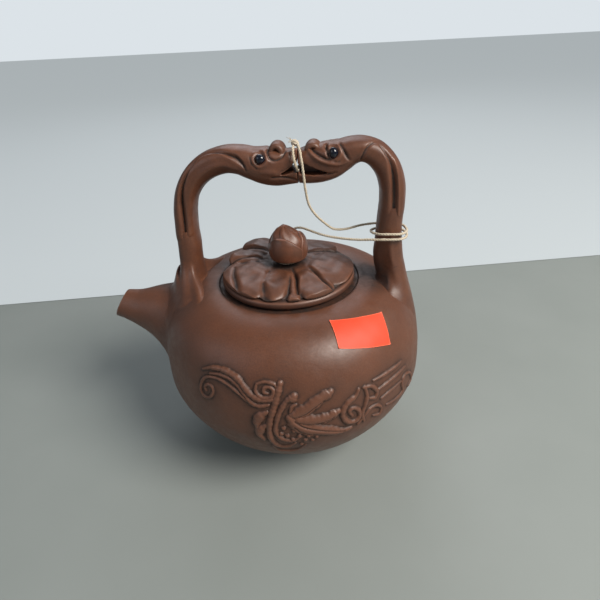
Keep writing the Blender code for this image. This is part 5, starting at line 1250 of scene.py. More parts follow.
flange_profile = softened([
    (FLANGE_OUTER, FLANGE_TOP), (FLANGE_OUTER - FLANGE_WALL, FLANGE_TOP),
    (FLANGE_OUTER - FLANGE_WALL + 0.0001, FLANGE_TOP - FLANGE_DEPTH),
    (FLANGE_OUTER - 0.0008, FLANGE_TOP - FLANGE_DEPTH), (FLANGE_OUTER, FLANGE_TOP - FLANGE_DEPTH + 0.0009),
    (FLANGE_OUTER, FLANGE_TOP)])
flange_rows = turned_rows(flange_profile[:-1], FLANGE_COLUMNS)
lid_flange = add_piece("lid_ring", flange_rows, tube_faces(flange_rows)[:, ::-1], lid_clay, ["lid_flange"], "lid")
flange_points = points_of(lid_flange)
give_values(lid_flange, "stain_and_shade", 0.30 + 0.5 * eased(flange_points[:, 2], FLANGE_TOP - 0.0015, FLANGE_TOP))


# ---------------------------------------------------------------------------------------------------------
# Lotus leaf
# A thick, puffy leaf of clay pressed together from pads over the lid disc, down to its edge. The pads are
# parted with a tool, pinched up to a fold in front, and dimpled with a finger or a round stick.

NECK_LEVEL = 0.0828
LEAF_LOBES = (
    # millimetres: across, back, half length, half width, turn in degrees, middle level, half height
    (0.4, -0.4, 25.6, 25.2, 0.0, 78.6, 3.0), (0.0, 0.0, 19.0, 19.0, 0.0, 80.0, 2.6),
    (-14.8, -10.6, 15.6, 11.0, -66.0, 80.0, 3.4), (-2.4, -14.8, 12.6, 7.4, -98.0, 80.0, 3.4),
    (3.5, -14.8, 11.6, 1.8, -81.5, 80.4, 2.3), (4.9, -24.9, 2.8, 2.8, -80.0, 79.8, 1.7),
    (11.0, -16.0, 12.2, 7.8, -58.0, 80.0, 3.3), (17.2, -1.6, 14.6, 11.0, 84.0, 79.9, 3.6),
    (11.0, 16.4, 10.4, 8.6, 57.0, 80.0, 2.7), (-1.6, 17.4, 9.8, 8.2, 95.0, 80.2, 2.8),
    (-13.8, 15.6, 9.6, 8.4, 133.0, 81.0, 3.0), (-18.4, 6.0, 8.8, 7.0, 162.0, 80.6, 2.8),
    (-23.4, -8.6, 4.2, 6.2, 201.0, 79.5, 2.0))
# Lines parted with a tool: across, back, half width and depth in millimetres
LEAF_LINES = (
    ((9.4, -5.4, 0.5, 0.3), (11.8, -8.9, 0.6, 1.3), (15.2, -14.2, 0.75, 2.0), (18.6, -18.0, 0.8, 2.0),
     (21.0, -20.6, 0.8, 1.5)),
    ((2.4, -6.0, 0.4, 0.4), (4.0, -10.6, 0.5, 1.3), (5.2, -15.0, 0.55, 1.9), (5.5, -19.0, 0.55, 1.9),
     (6.2, -23.0, 0.5, 0.9)),
    ((2.2, -13.0, 0.35, 0.2), (2.6, -17.0, 0.4, 0.6), (2.4, -21.0, 0.5, 1.0), (1.9, -26.0, 0.8, 1.8)),
    ((7.4, -23.4, 0.5, 0.6), (8.6, -27.0, 0.9, 1.5)),
    ((-8.0, -17.0, 0.6, 0.2), (-7.0, -20.6, 1.0, 1.3), (-5.6, -27.5, 1.9, 2.6)),
    ((-22.0, -4.0, 0.6, 0.4), (-20.9, -10.6, 0.8, 1.4), (-18.6, -17.0, 1.0, 1.7), (-17.0, -22.0, 1.0, 1.2)),
    ((-8.6, 2.4, 0.9, 0.5), (-16.0, 4.4, 0.8, 1.1), (-25.5, 1.6, 0.8, 1.2)),
    ((-9.6, 9.6, 0.9, 0.6), (-15.0, 11.8, 0.8, 1.3), (-24.0, 13.4, 0.8, 1.2)),
    ((6.6, 9.6, 0.9, 0.5), (13.0, 11.9, 0.8, 1.2), (23.0, 15.0, 0.8, 1.3)),
    ((3.6, 12.0, 0.8, 0.6), (4.4, 26.0, 0.9, 1.4)), ((-6.0, 12.0, 0.8, 0.6), (-8.4, 26.0, 0.9, 1.4)),
    # Dimples, which are short wide lines
    ((-13.2, -13.6, 2.6, 0.9), (-12.6, -14.0, 2.6, 0.9)), ((-3.4, -14.6, 2.6, 1.0), (-2.8, -15.0, 2.6, 1.0)),
    ((10.2, -17.6, 2.8, 1.0), (11.2, -18.1, 2.8, 1.0)), ((17.4, -5.6, 3.2, 0.8), (18.2, -5.9, 3.2, 0.8)),
    ((-19.4, -0.6, 2.2, 0.6), (-18.8, -0.8, 2.2, 0.6)), ((20.0, -12.0, 2.0, 0.7), (20.6, -12.3, 2.0, 0.7)),
    ((13.0, 3.6, 3.0, 0.6), (13.6, 3.2, 3.0, 0.6)), ((-19.5, 7.5, 2.8, 0.6), (-18.6, 7.2, 2.8, 0.6)))
LEAF_VOXEL = 0.00036
PUFF_ROWS = 33
PUFF_COLUMNS = 64


def leaf_underside(points):
    """Level of the leaf's underside, which lies on the crowned disc."""
    reach = np.hypot(points[:, 0], points[:, 1]) / LID_RADIUS
    return lid_top + 0.0015 - 0.0014 * reach ** 2


def puff_rows(across, back, length, width, turn, level, rise):
    """Rows over one stretched ball of clay, in metres."""
    climb = np.linspace(-0.5, 0.5, PUFF_ROWS)[1:-1, None] * math.pi
    around = np.arange(PUFF_COLUMNS) * 2.0 * math.pi / PUFF_COLUMNS
    lean = math.radians(turn)
    along = length * np.cos(climb) ** 0.8 * np.cos(around)
    aside = width * np.cos(climb) ** 0.8 * np.sin(around)
    up = level + rise * np.sin(climb) + np.zeros(PUFF_COLUMNS)
    return np.stack([across + along * math.cos(lean) - aside * math.sin(lean),
                     back + along * math.sin(lean) + aside * math.cos(lean), up], axis=-1) / 1000.0


def build_leaf(finish):
    """The pads run together, parted and dimpled from above, and let down on the lid disc."""
    skins = [closed_skin(puff_rows(*lobe)) for lobe in LEAF_LOBES]
    count = len(skins[0][0])
    points = np.vstack([skin[0] for skin in skins])
    faces = [[place + number * count for place in face] for number, skin in enumerate(skins) for face in skin[1]]
    points, faces = cut_and_evened(points, faces, [], LEAF_VOXEL)
    pairs = edge_pairs(faces)
    points = relaxed(points, pairs, 10)
    facing = facing_of(points, faces)
    flat = points[:, :2] * 1000.0
    height = worked(flat, LEAF_LINES)
    height += 0.16 * np.sin(flat[:, 0] * 0.9 + 0.3 * flat[:, 1]) * np.sin(flat[:, 1] * 0.7 - 0.2 * flat[:, 0] + 1.0)
    points[:, 2] += height / 1000.0 * eased(facing[:, 2], 0.0, 0.5)
    # The lobes fall away to their edges, less so on the left at the back, where they stand up
    reach = np.hypot(points[:, 0], points[:, 1])
    under = leaf_underside(points)
    stands = eased(points[:, 1] - 0.9 * points[:, 0], 0.012, 0.030)
    fall = (0.34 - 0.40 * stands) * eased(reach, 0.012, 0.0272)
    points[:, 2] = under + (points[:, 2] - under) * (1.0 - fall)
    # The middle is pressed flat for the bud's neck
    flat_top = NECK_LEVEL - 0.0003
    points[:, 2] -= np.maximum(points[:, 2] - flat_top, 0.0) * (1.0 - eased(reach, 0.0056, 0.0100))
    points = relaxed(points, pairs, 3)
    points[:, :2] /= (1.0 + 0.85 * np.maximum(reach / 0.0272 - 1.0, 0.0))[:, None]
    under = leaf_underside(points)
    points[:, 2] = under + soft_lift(points[:, 2] - under, 0.00015)
    leaf = add_piece("clay_lotus_leaf", points, faces, finish, ["lotus_leaf"], "lid")
    fine, broad = hollow_and_ridge(points, faces, pairs, 3, 24)
    # Dark slip and painted shade in the hollows, painted shade in the middle round the bud, more to the left and back,
    # and painted shade low down where the leaf meets the disc
    centre = 1.0 - eased(reach + 0.12 * (points[:, 0] - points[:, 1]), 0.0064, 0.0120)
    low = 1.0 - eased(points[:, 2] - under, 0.0002, 0.0010)
    stain_and_shade = np.maximum(eased(fine, 0.00002, 0.00012) + 0.75 * eased(broad, 0.00004, 0.00030), np.maximum(centre, low))
    give_values(leaf, "stain_and_shade", stain_and_shade)
    give_values(leaf, "wear_and_highlight", 0.55 * eased(-broad, 0.00008, 0.00040))


leaf_clay = unglazed_stoneware(
    "modelled_brown_stoneware", "543526", "633D2A", CLAY_STAIN_AND_SHADE, "774E3A", roughness=0.42, mottling=4.0)
build_leaf(leaf_clay)


# ---------------------------------------------------------------------------------------------------------
# Knob
# A lotus bud on a short neck: an egg of clay wrapped in thin petals whose edges stand out, with the tips
# pinched together at the top. It lifts the lid.

NECK_RADIUS = 0.0034
NECK_HEIGHT = 0.0016
BUD_RADIUS = 0.0072
BUD_HEIGHT = 0.0143
BUD_BASE = 0.08446
BUD_OUTLINE = ((0.80, 0.00), (0.94, 0.04), (1.00, 0.14), (1.03, 0.30), (1.00, 0.46), (0.90, 0.62), (0.70, 0.77),
               (0.44, 0.89), (0.20, 0.97), (0.06, 1.00))
BUD_COLUMNS = 144
NECK_COLUMNS = 72
BUD_PETALS = (
    # name, node, middle in degrees, half spread in degrees, share of the height that it reaches
    ("bud_front_petal", "knob_petal_front", 254.0, 74.0, 0.74),
    ("bud_right_petal", "knob_petal_right", 2.0, 46.0, 0.80),
    ("bud_back_petal", "knob_petal_back", 122.0, 64.0, 0.82),
)

bud_line = smooth_line(BUD_OUTLINE, 10)


def bud_point(degrees, share, lift):
    """Point over the bud at a direction and a share of its height."""
    radius = BUD_RADIUS * np.interp(share, bud_line[:, 1], bud_line[:, 0]) + lift
    lean = eased(share, 0.55, 1.0)
    turn = np.radians(degrees)
    pinch = 1.0 + 0.12 * lean * np.cos(3.0 * turn + 0.6) + 0.05 * lean * np.cos(5.0 * turn + 2.2)
    return np.stack([
        radius * pinch * np.cos(turn) + 0.0005 - 0.0012 * lean, radius * pinch * np.sin(turn),
        BUD_BASE + BUD_HEIGHT * share + np.zeros_like(turn) + 0.2 * lift], axis=-1)


def build_knob(neck_finish, bud_finish):
    """The neck's ring and the bud on it, with its tip twisted and crumpled by the fingers."""
    neck = softened([
        (VENT_RADIUS, NECK_LEVEL), (NECK_RADIUS + 0.0002, NECK_LEVEL), (NECK_RADIUS - 0.0002, NECK_LEVEL + 0.0008),
        (NECK_RADIUS + 0.0002, NECK_LEVEL + NECK_HEIGHT), (VENT_RADIUS, NECK_LEVEL + NECK_HEIGHT),
        (VENT_RADIUS, NECK_LEVEL)])
    neck_rows = turned_rows(neck[:-1], NECK_COLUMNS)
    piece = add_piece("bud_neck", neck_rows, tube_faces(neck_rows), neck_finish, ["knob_neck"], "lid")
    # Painted shade: the neck under the bud is darkened all over
    give_values(piece, "stain_and_shade", np.full(len(piece.data.vertices), 0.8))
    degrees = np.arange(BUD_COLUMNS) * 360.0 / BUD_COLUMNS
    shares = np.linspace(0.0, 1.0, 70)
    rows = np.stack([bud_point(degrees, np.full(BUD_COLUMNS, share), 0.0) for share in shares])
    tip = eased(rows[..., 2], BUD_BASE + 0.0086, BUD_BASE + 0.0116)
    twist = np.radians(degrees)[None, :] + 60.0 * (rows[..., 2] - BUD_BASE - 0.0086)
    crumple = np.abs(np.sin(twist * 2.0 + 0.5)) ** 0.6 - 0.7 + 0.25 * np.sin(twist * 7.0)
    rows[..., :2] += (tip * crumple * 0.00065)[..., None] * np.stack([np.cos(twist), np.sin(twist)], axis=-1)
    points, faces = closed_skin(rows)
    bud = add_piece("lotus_bud", points, faces, bud_finish, ["knob_bud"], "lid")
    pairs = edge_pairs(faces)
    fine, _ = hollow_and_ridge(points, faces, pairs, 2, 8)
    # Dark slip and painted shade in the bud's hollows, and painted shade at its base
    above_base = eased(points[:, 2], BUD_BASE, BUD_BASE + 0.0022)
    give_values(bud, "stain_and_shade", 0.8 * eased(fine, 0.00001, 0.00006) + 1.0 - above_base)
    give_values(bud, "wear_and_highlight", 0.8 * eased(-fine, 0.00001, 0.00005))


def build_petal(name, node, middle, spread, top, finish):
    """Thin petal that hugs the bud, with a raised, slightly wavy edge and a pointed tip."""
    degrees = middle + np.linspace(-1.25, 1.25, 90) * spread
    shares = np.linspace(0.03, top + 0.05, 72)
    grid_degrees, grid_shares = np.meshgrid(degrees, shares)
    climb = np.clip((grid_shares - 0.05) / (top - 0.05), 0.0, 1.0)
    half = spread * np.sqrt(np.clip(1.0 - climb ** 2.3, 0.0, 1.0)) * (1.0 + 0.04 * np.sin(11.0 * climb + middle))
    across = np.abs(grid_degrees - middle) * BUD_RADIUS * math.pi / 180.0
    inside = half * BUD_RADIUS * math.pi / 180.0 - across
    over = (top - grid_shares) * BUD_HEIGHT
    margin = np.minimum(inside, over)
    lift = 0.00072 * eased(margin, -0.0002, 0.0005) + 0.00006 * np.exp(-((margin - 0.0005) / 0.0003) ** 2)
    lift -= 0.00035 * (1.0 - eased(margin, -0.0005, -0.0001))
    points = bud_point(grid_degrees, grid_shares, lift)
    faces = grid_faces(len(shares), len(degrees), round_again=False)
    faces = faces[(margin.reshape(-1)[faces] > -0.0005).any(axis=1)]
    used, faces = np.unique(faces, return_inverse=True)
    faces = faces.reshape(-1, 4)
    petal = add_piece(name, points.reshape(-1, 3)[used], faces, finish, [node], "lid")
    edge = margin.reshape(-1)[used]
    behind_edge = np.exp(-((edge - 0.0009) / 0.0004) ** 2)
    # Dark slip and painted shade where the petal's edge meets the bud, and a faint darker band behind the edge
    give_values(petal, "stain_and_shade", 0.9 * (1.0 - eased(edge, -0.0003, 0.0001)) + 0.25 * behind_edge)
    give_values(petal, "wear_and_highlight", 0.7 * np.exp(-((edge - 0.0003) / 0.00025) ** 2))


bud_clay = unglazed_stoneware(
    "pinched_brown_stoneware", "593727", "6B402C", CLAY_STAIN_AND_SHADE, "805543", roughness=0.41, mottling=4.5)
build_knob(lid_clay, bud_clay)
for name, node, middle, spread, top in BUD_PETALS:
    build_petal(name, node, middle, spread, top, bud_clay)


# ---------------------------------------------------------------------------------------------------------
# Tie string
# Thin two-ply cotton twine. It is knotted over the dragons' snouts, hangs down to the right post, goes twice
# round it and runs on to the neck of the knob, where it is tied so that the loose lid can't be lost.

STRING_DIAMETER = 0.0010
TWIST_LENGTH = 0.0021
TWINE_STEP = 0.00016
TWINE_COLUMNS = 14
FRAYED_FIBRE = 0.00016
FRAYED_COUNT = 9
TOP_LOOP_PLACES = (
    (0.0054, 0.0022, 0.1301), (0.0056, 0.0046, 0.1292), (0.0060, 0.0066, 0.1264),
    (0.0064, 0.0068, 0.1236), (0.0066, 0.0052, 0.1219), (0.0066, 0.0020, 0.1216),
    (0.0066, -0.0020, 0.1216), (0.0066, -0.0052, 0.1219), (0.0062, -0.0068, 0.1238),
    (0.0056, -0.0067, 0.1264), (0.0052, -0.0046, 0.1290), (0.0052, -0.0026, 0.1299),
)
DROP_PLACES = (
    (0.0068, -0.0026, 0.1304), (0.0076, -0.0050, 0.1290), (0.0082, -0.0068, 0.1264),
    (0.0086, -0.0074, 0.1237), (0.0090, -0.0075, 0.1192), (0.0093, -0.0070, 0.1152),
    (0.0102, -0.0052, 0.1089), (0.0125, -0.0030, 0.1039), (0.0158, -0.0010, 0.0997),
    (0.0188, 0.0005, 0.0968), (0.0215, 0.0020, 0.0957), (0.0242, 0.0035, 0.0953),
    (0.0270, 0.0050, 0.0954), (0.0300, 0.0065, 0.0956), (0.0340, 0.0078, 0.0957),
    (0.0380, 0.0083, 0.0958), (0.0425, 0.0081, 0.0960), (0.0462, 0.0058, 0.0962),
    (0.0477, 0.0010, 0.0965), (0.0472, -0.0038, 0.0969), (0.0446, -0.0072, 0.0974),
    (0.0408, -0.0080, 0.0977), (0.0370, -0.0072, 0.0974), (0.0346, -0.0038, 0.0966),
    (0.0340, 0.0005, 0.0956), (0.0347, 0.0046, 0.0945), (0.0370, 0.0074, 0.0940),
    (0.0410, 0.0082, 0.0939), (0.0455, 0.0066, 0.0940), (0.0478, 0.0022, 0.0943),
    (0.0475, -0.0030, 0.0947), (0.0452, -0.0068, 0.0952), (0.0412, -0.0080, 0.0955),
    (0.0374, -0.0077, 0.0954),
)
LID_RUN_PLACES = (
    (0.0392, -0.0078, 0.0955),
    (0.0366, -0.0075, 0.0953), (0.0330, -0.0064, 0.0949), (0.0294, -0.0053, 0.0944),
    (0.0255, -0.0040, 0.0941), (0.0216, -0.0026, 0.0940), (0.0176, -0.0010, 0.0940),
    (0.0134, 0.0010, 0.0943), (0.0094, 0.0034, 0.0948), (0.0060, 0.0060, 0.0949),
    (0.0032, 0.0078, 0.0941), (0.0014, 0.0088, 0.0922), (0.0004, 0.0091, 0.0894),
    (0.0001, 0.0086, 0.0868), (0.0000, 0.0072, 0.0850), (0.0000, 0.0056, 0.0842),
)


def cotton_twine(name):
    """Unbleached cotton, spun and plied. The eye sees cream yarn with fine slanting fibres and painted shade in the
    hollows between the plies, and no shine but a faint fuzz at the edges."""
    finish, tree, shader = new_finish(name)
    place = add_node(tree, "ShaderNodeTexCoord").outputs["Object"]
    fibres = add_node(tree, "ShaderNodeTexNoise", values={
        "Scale": per_metre(0.22), "Detail": 4.0, "Roughness": 0.7}, links={"Vector": place})
    soil = add_node(tree, "ShaderNodeTexNoise", values={
        "Scale": per_metre(9.0), "Detail": 3.0}, links={"Vector": place})
    tones = add_node(tree, "ShaderNodeValToRGB", links={"Fac": fibres.outputs["Fac"]})
    tones.color_ramp.elements[0].position = 0.25
    tones.color_ramp.elements[0].color = linear("B7AA93")
    tones.color_ramp.elements[1].position = 0.65
    tones.color_ramp.elements[1].color = linear("E6E0D3")
    soiled = add_node(tree, "ShaderNodeMix", {"data_type": "RGBA", "blend_type": "MULTIPLY"}, {7: linear("DCCFB6")}, {
        0: soil.outputs["Fac"], 6: tones.outputs["Color"]})
    # Painted shade in the hollows between the plies
    hollow = add_node(tree, "ShaderNodeAttribute", {"attribute_name": "stain_and_shade"})
    plied = add_node(tree, "ShaderNodeMix", {"data_type": "RGBA"}, {7: linear("8C7E68")}, {
        0: hollow.outputs["Fac"], 6: soiled.outputs[2]})
    tree.links.new(plied.outputs[2], shader.inputs["Base Color"])
    shader.inputs["Roughness"].default_value = 0.92
    shader.inputs["Sheen Weight"].default_value = 0.25
    fuzz = add_node(tree, "ShaderNodeBump", values={"Strength": 0.7, "Distance": 0.00006}, links={
        "Height": fibres.outputs["Fac"]})
    tree.links.new(fuzz.outputs["Normal"], shader.inputs["Normal"])
    return finish


def even_line(places, step):
    """Places on a smooth curve, evenly spaced along it."""
    line = smooth_line(places, 24)
    lengths = np.concatenate([[0.0], np.cumsum(np.linalg.norm(np.diff(line, axis=0), axis=1))])
    count = int(lengths[-1] / step) + 1
    at = np.linspace(0.0, lengths[-1], count)
    return np.stack([np.interp(at, lengths, line[:, axis]) for axis in range(3)], axis=-1), at


def twine_rows(path, at, diameter):
    """Two-lobed section turned along the path, as twine with two plies has."""
    along = np.gradient(path, axis=0)
    along /= np.linalg.norm(along, axis=1)[:, None]
    side = np.cross(along[0], [0.0, 0.0, 1.0])
    if np.linalg.norm(side) < 0.1:
        side = np.cross(along[0], [0.0, 1.0, 0.0])
    sides = []
    for direction in along:
        side = side - direction * (side @ direction)
        side = side / np.linalg.norm(side)
        sides.append(side)
    sides = np.array(sides)
    ups = np.cross(along, sides)
    angle = np.arange(TWINE_COLUMNS) * 2.0 * math.pi / TWINE_COLUMNS
    twist = at[:, None] * 2.0 * math.pi / TWIST_LENGTH
    lobe = np.abs(np.cos(angle - twist))
    radius = diameter / 2.0 * (0.68 + 0.34 * lobe ** 0.8)
    radius = radius * (1.0 + 0.05 * np.sin(at[:, None] * 1900.0))
    rows = path[:, None] + sides[:, None] * (radius * np.cos(angle))[..., None]
    rows = rows + ups[:, None] * (radius * np.sin(angle))[..., None]
    return rows, 1.0 - eased(lobe, 0.05, 0.55)


def build_twine(name, places, nodes, finish, body="pot"):
    """One run of twine, with the path it follows and its length."""
    path, at = even_line(places, TWINE_STEP)
    rows, hollow = twine_rows(path, at, STRING_DIAMETER)
    points, faces = closed_skin(rows)
    twine = add_piece(name, points, faces, finish, nodes, body, "cotton_string")
    # Painted shade in the hollows between the plies
    give_values(twine, "stain_and_shade", np.concatenate([0.75 * hollow.ravel(), [0.0, 0.0]]))
    return twine, path, float(at[-1])


def build_knot(finish):
    """Overhand knot on top of the snouts with a short frayed end."""
    centre = np.array([0.0055, 0.0, 0.1304])
    turn = np.linspace(0.0, 2.0 * math.pi, 9)[:-1]
    wraps = []
    for tilt, reach in ((0.2, 0.00085), (1.3, 0.00080), (2.4, 0.00078)):
        flat = np.stack([np.cos(turn), np.sin(turn) * math.cos(tilt), np.sin(turn) * math.sin(tilt)], axis=-1)
        loop = centre + reach * flat + np.array([0.00025, 0.0, 0.0]) * math.cos(3.0 * tilt)
        wraps.append((np.vstack([loop, loop[:1]]), STRING_DIAMETER * 0.95))
    ends = np.random.default_rng(7)
    for _ in range(FRAYED_COUNT):
        lean = ends.normal(0.0, 0.5, 3)
        away = np.array([-0.75, -0.25, 0.55]) + lean * 0.55
        away /= np.linalg.norm(away)
        start = centre + np.array([-0.0004, -0.0002, 0.0004])
        bend = ends.normal(0.0, 0.00035, 3)
        reach = 0.0016 + 0.0011 * ends.random()
        fibre = [start, start + away * reach * 0.5 + bend * 0.4, start + away * reach + bend]
        wraps.append((np.array(fibre), FRAYED_FIBRE))
    points, faces, hollow = np.empty((0, 3)), [], []
    for places, diameter in wraps:
        path, at = even_line(places, TWINE_STEP)
        rows, lobe = twine_rows(path, at, diameter)
        more, corners = closed_skin(rows)
        faces += [[corner + len(points) for corner in face] for face in corners]
        points = np.vstack([points, more])
        hollow += [0.75 * lobe.ravel(), [0.0, 0.0]]
    knot = add_piece("twine_knot", points, faces, finish, ["string_knot"], "pot", "cotton_string")
    # Painted shade in the hollows between the plies
    give_values(knot, "stain_and_shade", np.concatenate(hollow))
    return knot


twine_finish = cotton_twine("unbleached_cotton_twine")
knot = build_knot(twine_finish)
top_loop, top_path, top_length = build_twine("twine_top_loop", TOP_LOOP_PLACES, ["string_top_loop"], twine_finish)
drop, drop_path, drop_length = build_twine("twine_drop", DROP_PLACES, ["string_drop"], twine_finish)
lid_run, lid_path, lid_length = build_twine("twine_lid_run", LID_RUN_PLACES, ["string_lid_run"], twine_finish, None)
loop_turn = np.linspace(0.0, 2.0 * math.pi, 13)
loop_reach = NECK_RADIUS + 0.0003 + STRING_DIAMETER / 2.0
loop_places = np.stack([loop_reach * np.sin(loop_turn), loop_reach * np.cos(loop_turn),
                        np.full(13, NECK_LEVEL + NECK_HEIGHT / 2.0)], axis=-1)
knob_loop, _, _ = build_twine("twine_knob_loop", loop_places, ["string_knob_loop"], twine_finish, "knob_loop")
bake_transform(lid_run)


# ---------------------------------------------------------------------------------------------------------
# Paper label
# A small rectangle of bright orange paper with gummed back, stuck a little askew on the shoulder and lifting
# at its corners. It is left bare.

LABEL_WIDTH = 0.0220
LABEL_HEIGHT = 0.0120
LABEL_TURN = math.radians(41.9)
LABEL_CLIMB = 0.0348
LABEL_TILT = math.radians(-18.2)
LABEL_GAP = 0.0003
LABEL_THICKNESS = 0.00015


def gummed_paper(name):
    """Coated label paper in a bright orange ink. The eye sees a flat, strong colour, faint fibres, slightly
    paler cut edges and a soft sheen."""
    finish, tree, shader = new_finish(name)
    place = add_node(tree, "ShaderNodeTexCoord").outputs["Object"]
    fibres = add_node(tree, "ShaderNodeTexNoise", values={
        "Scale": per_metre(0.5), "Detail": 4.0, "Roughness": 0.7}, links={"Vector": place})
    tones = add_node(tree, "ShaderNodeValToRGB", links={"Fac": fibres.outputs["Fac"]})
    tones.color_ramp.elements[0].position = 0.3
    tones.color_ramp.elements[0].color = linear("E8401F")
    tones.color_ramp.elements[1].position = 0.7
    tones.color_ramp.elements[1].color = linear("F24B27")
    edge = add_node(tree, "ShaderNodeAttribute", {"attribute_name": "wear_and_highlight"})
    cut = add_node(tree, "ShaderNodeMix", {"data_type": "RGBA"}, {7: linear("F87C56")}, {
        0: edge.outputs["Fac"], 6: tones.outputs["Color"]})
    tree.links.new(cut.outputs[2], shader.inputs["Base Color"])
    sheen = add_node(tree, "ShaderNodeMapRange", values={"To Min": 0.5, "To Max": 0.64}, links={
        "Value": fibres.outputs["Fac"]})
    tree.links.new(sheen.outputs["Result"], shader.inputs["Roughness"])
    grain = add_node(tree, "ShaderNodeBump", values={"Strength": 0.15, "Distance": 0.00003}, links={
        "Height": fibres.outputs["Fac"]})
    tree.links.new(grain.outputs["Normal"], shader.inputs["Normal"])
    return finish


def build_label(finish):
    """The sheet with its thickness, laid over the shoulder with a slight wave and its corners lifting."""
    across, up = np.meshgrid(np.linspace(-0.5, 0.5, 67), np.linspace(-0.5, 0.5, 37))
    corner = np.clip((np.abs(across) * 2.0 - 0.86) / 0.14, 0.0, 1.0) * np.clip((np.abs(up) * 2.0 - 0.7) / 0.3, 0.0, 1.0)
    wave = 0.00004 * np.sin(17.0 * across + 3.0) * np.sin(7.0 * up + 1.0)
    curl = 0.00028 * corner ** 1.5
    side, height = LABEL_WIDTH * across, LABEL_HEIGHT * up
    climb = LABEL_CLIMB + side * math.sin(LABEL_TILT) + height * math.cos(LABEL_TILT)
    aside = side * math.cos(LABEL_TILT) - height * math.sin(LABEL_TILT)
    turn = LABEL_TURN + aside / np.interp(climb, CLIMB, CLIMB_RADIUS)
    layers = [on_pot(turn, climb, LABEL_GAP * 0.4 + wave + curl),
              on_pot(turn, climb, LABEL_GAP * 0.4 + LABEL_THICKNESS + wave + curl)]
    rows, columns = across.shape
    sheet = grid_faces(rows, columns, round_again=False)
    count = rows * columns
    ring = list(range(columns)) + [row * columns + columns - 1 for row in range(1, rows)]
    ring += [count - 1 - column for column in range(1, columns)] + [row * columns for row in range(rows - 2, 0, -1)]
    walls = [(a, b, b + count, a + count) for a, b in zip(ring, ring[1:] + ring[:1])]
    faces = sheet[:, ::-1].tolist() + (sheet + count).tolist() + walls
    label = add_piece("bare_label", np.concatenate([layer.reshape(-1, 3) for layer in layers]), faces, finish,
                      ["paper_label"], "pot", "orange_paper")
    rim = np.maximum(eased(np.abs(across), 0.490, 0.499), eased(np.abs(up), 0.482, 0.498))
    give_values(label, "wear_and_highlight", 0.7 * np.concatenate([rim.ravel(), rim.ravel()]))
    label.data.set_sharp_from_angle(angle=math.radians(50.0))


build_label(gummed_paper("bare_orange_label_paper"))


# ---------------------------------------------------------------------------------------------------------
# Table and backdrop
# A grey painted table top and a pale matt card behind the teapot, which are not part of it. The card is laid
# flat on the table, so that it hides nothing from the back.

TABLE_REACH = 4.2
BACKDROP_CORNERS = [
    (-4.1905, -0.6078, 0.0004), (4.1784, 0.8721, 0.0004), (4.1784, 4.2000, 0.0004), (-4.1905, 4.2000, 0.0004)]
TABLE_CORNERS = [
    (-TABLE_REACH, -TABLE_REACH, 0.0), (TABLE_REACH, -TABLE_REACH, 0.0), (TABLE_REACH, TABLE_REACH, 0.0),
    (-TABLE_REACH, TABLE_REACH, 0.0)]


def painted_surface(name, code, other, grain_mm, roughness):
    """Matt paint over board: a flat pale colour with faint clouding and roller texture."""
    finish, tree, shader = new_finish(name)
    place = add_node(tree, "ShaderNodeTexCoord").outputs["Object"]
    clouds = add_node(tree, "ShaderNodeTexNoise", values={
        "Scale": per_metre(grain_mm), "Detail": 4.0}, links={"Vector": place})
    tones = add_node(tree, "ShaderNodeValToRGB", links={"Fac": clouds.outputs["Fac"]})
    tones.color_ramp.elements[0].color = linear(code)
    tones.color_ramp.elements[1].color = linear(other)
    tree.links.new(tones.outputs["Color"], shader.inputs["Base Color"])
    shader.inputs["Roughness"].default_value = roughness
    return finish


def flat_panel(name, corners, finish):
    """One flat sheet of the set, which is no part of the object."""
    mesh = bpy.data.meshes.new(name)
    mesh.from_pydata(corners, [], [(0, 1, 2, 3)])
    mesh.materials.append(finish)
    panel = bpy.data.objects.new(name, mesh)
    bpy.context.scene.collection.objects.link(panel)


table_paint = painted_surface("grey_table_paint", "868E8B", "929997", 60.0, 0.6)
flat_panel("table_top", TABLE_CORNERS, table_paint)


def lit_backdrop(name, code, share):
    """Pale matt card. The eye sees it evenly pale to its far end, with the soft shadow of the pot on it."""
    finish = painted_surface(name, code, code, 40.0, 0.9)
    tree = finish.node_tree
    pale = add_node(tree, "ShaderNodeEmission", values={"Color": linear(code), "Strength": 1.0})
    rays = add_node(tree, "ShaderNodeLightPath")
    seen = add_node(tree, "ShaderNodeMath", {"operation": "MAXIMUM"}, links={
        0: rays.outputs["Is Camera Ray"], 1: rays.outputs["Is Glossy Ray"]})
    amount = add_node(tree, "ShaderNodeMath", {"operation": "MULTIPLY"}, {1: share}, {0: seen.outputs["Value"]})
    mixed = add_node(tree, "ShaderNodeMixShader", links={
        0: amount.outputs["Value"], 1: tree.nodes["Principled BSDF"].outputs["BSDF"], 2: pale.outputs["Emission"]})
    tree.links.new(mixed.outputs["Shader"], tree.nodes["Material Output"].inputs["Surface"])
    return finish


flat_panel("backdrop", BACKDROP_CORNERS, lit_backdrop("pale_backdrop_card", "CBD3D6", 0.6))


# ---------------------------------------------------------------------------------------------------------
# Light and camera
# Plain soft studio light: a broad lamp high on the right, a weaker one on the left and pale air all round.
# The camera stands close above the teapot, a little to its right, as in the photograph.

CAMERA_TURN = math.radians(6.824)
CAMERA_HEIGHT = math.radians(31.47)
CAMERA_ROLL = math.radians(3.215)
CAMERA_AWAY = 0.198611
CAMERA_AIM = (0.004194, 0.0, 0.063434)
CAMERA_LENS_MM = 27.076
CAMERA_SENSOR_MM = 36.0


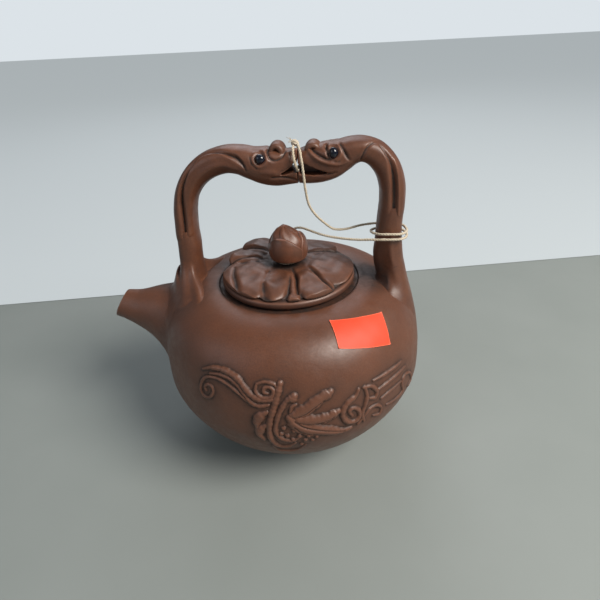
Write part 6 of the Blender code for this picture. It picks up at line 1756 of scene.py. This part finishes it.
def soft_lamp(name, place, aim, size, watts, code):
    """A round soft lamp turned to its aim."""
    lamp = bpy.data.lights.new(name, "AREA")
    lamp.shape = "DISK"
    lamp.size = size
    lamp.energy = watts
    lamp.color = linear(code)[:3]
    holder = bpy.data.objects.new(name, lamp)
    holder.location = place
    holder.rotation_euler = (Vector(aim) - Vector(place)).to_track_quat("-Z", "Y").to_euler()
    bpy.context.scene.collection.objects.link(holder)


soft_lamp("key_lamp", (0.60, -0.30, 0.70), (0.0, 0.0, 0.06), 0.50, 11.5, "FFF8F0")
soft_lamp("fill_lamp", (-0.75, -0.55, 0.55), (0.0, 0.0, 0.06), 0.70, 1.4, "F2F6FF")
soft_lamp("back_lamp", (-0.10, 0.75, 0.75), (0.0, 0.0, 0.09), 0.70, 2.4, "F6F8FF")

world = bpy.data.worlds.new("pale_room")
world.use_nodes = True
bpy.context.scene.world = world
air = world.node_tree.nodes["Background"]
air.inputs["Color"].default_value = linear("E6EBEF")
air.inputs["Strength"].default_value = 0.21
seen = add_node(world.node_tree, "ShaderNodeBackground", values={"Color": linear("DCE3E8"), "Strength": 1.0})
rays = add_node(world.node_tree, "ShaderNodeLightPath")
shown = add_node(world.node_tree, "ShaderNodeMath", {"operation": "MAXIMUM"}, links={
    0: rays.outputs["Is Camera Ray"], 1: rays.outputs["Is Transmission Ray"]})
mixed = add_node(world.node_tree, "ShaderNodeMixShader", links={
    0: shown.outputs["Value"], 1: air.outputs["Background"], 2: seen.outputs["Background"]})
world.node_tree.links.new(mixed.outputs["Shader"], world.node_tree.nodes["World Output"].inputs["Surface"])

back = np.array([
    math.sin(CAMERA_TURN) * math.cos(CAMERA_HEIGHT), -math.cos(CAMERA_TURN) * math.cos(CAMERA_HEIGHT),
    math.sin(CAMERA_HEIGHT)])
level_right = np.cross(-back, [0.0, 0.0, 1.0])
level_right /= np.linalg.norm(level_right)
level_up = np.cross(level_right, -back)
rolled_right = math.cos(CAMERA_ROLL) * level_right - math.sin(CAMERA_ROLL) * level_up
rolled_up = math.sin(CAMERA_ROLL) * level_right + math.cos(CAMERA_ROLL) * level_up
place = np.array(CAMERA_AIM) + back * CAMERA_AWAY
camera_data = bpy.data.cameras.new("camera")
camera_data.lens = CAMERA_LENS_MM
camera_data.sensor_width = CAMERA_SENSOR_MM
camera_data.sensor_fit = "HORIZONTAL"
camera_data.clip_start = 0.005
camera = bpy.data.objects.new("camera", camera_data)
camera.matrix_world = Matrix([
    [rolled_right[axis], rolled_up[axis], back[axis], place[axis]] for axis in range(3)] + [[0.0, 0.0, 0.0, 1.0]])
bpy.context.scene.collection.objects.link(camera)
bpy.context.scene.camera = camera
bpy.context.scene.view_settings.view_transform = "Standard"
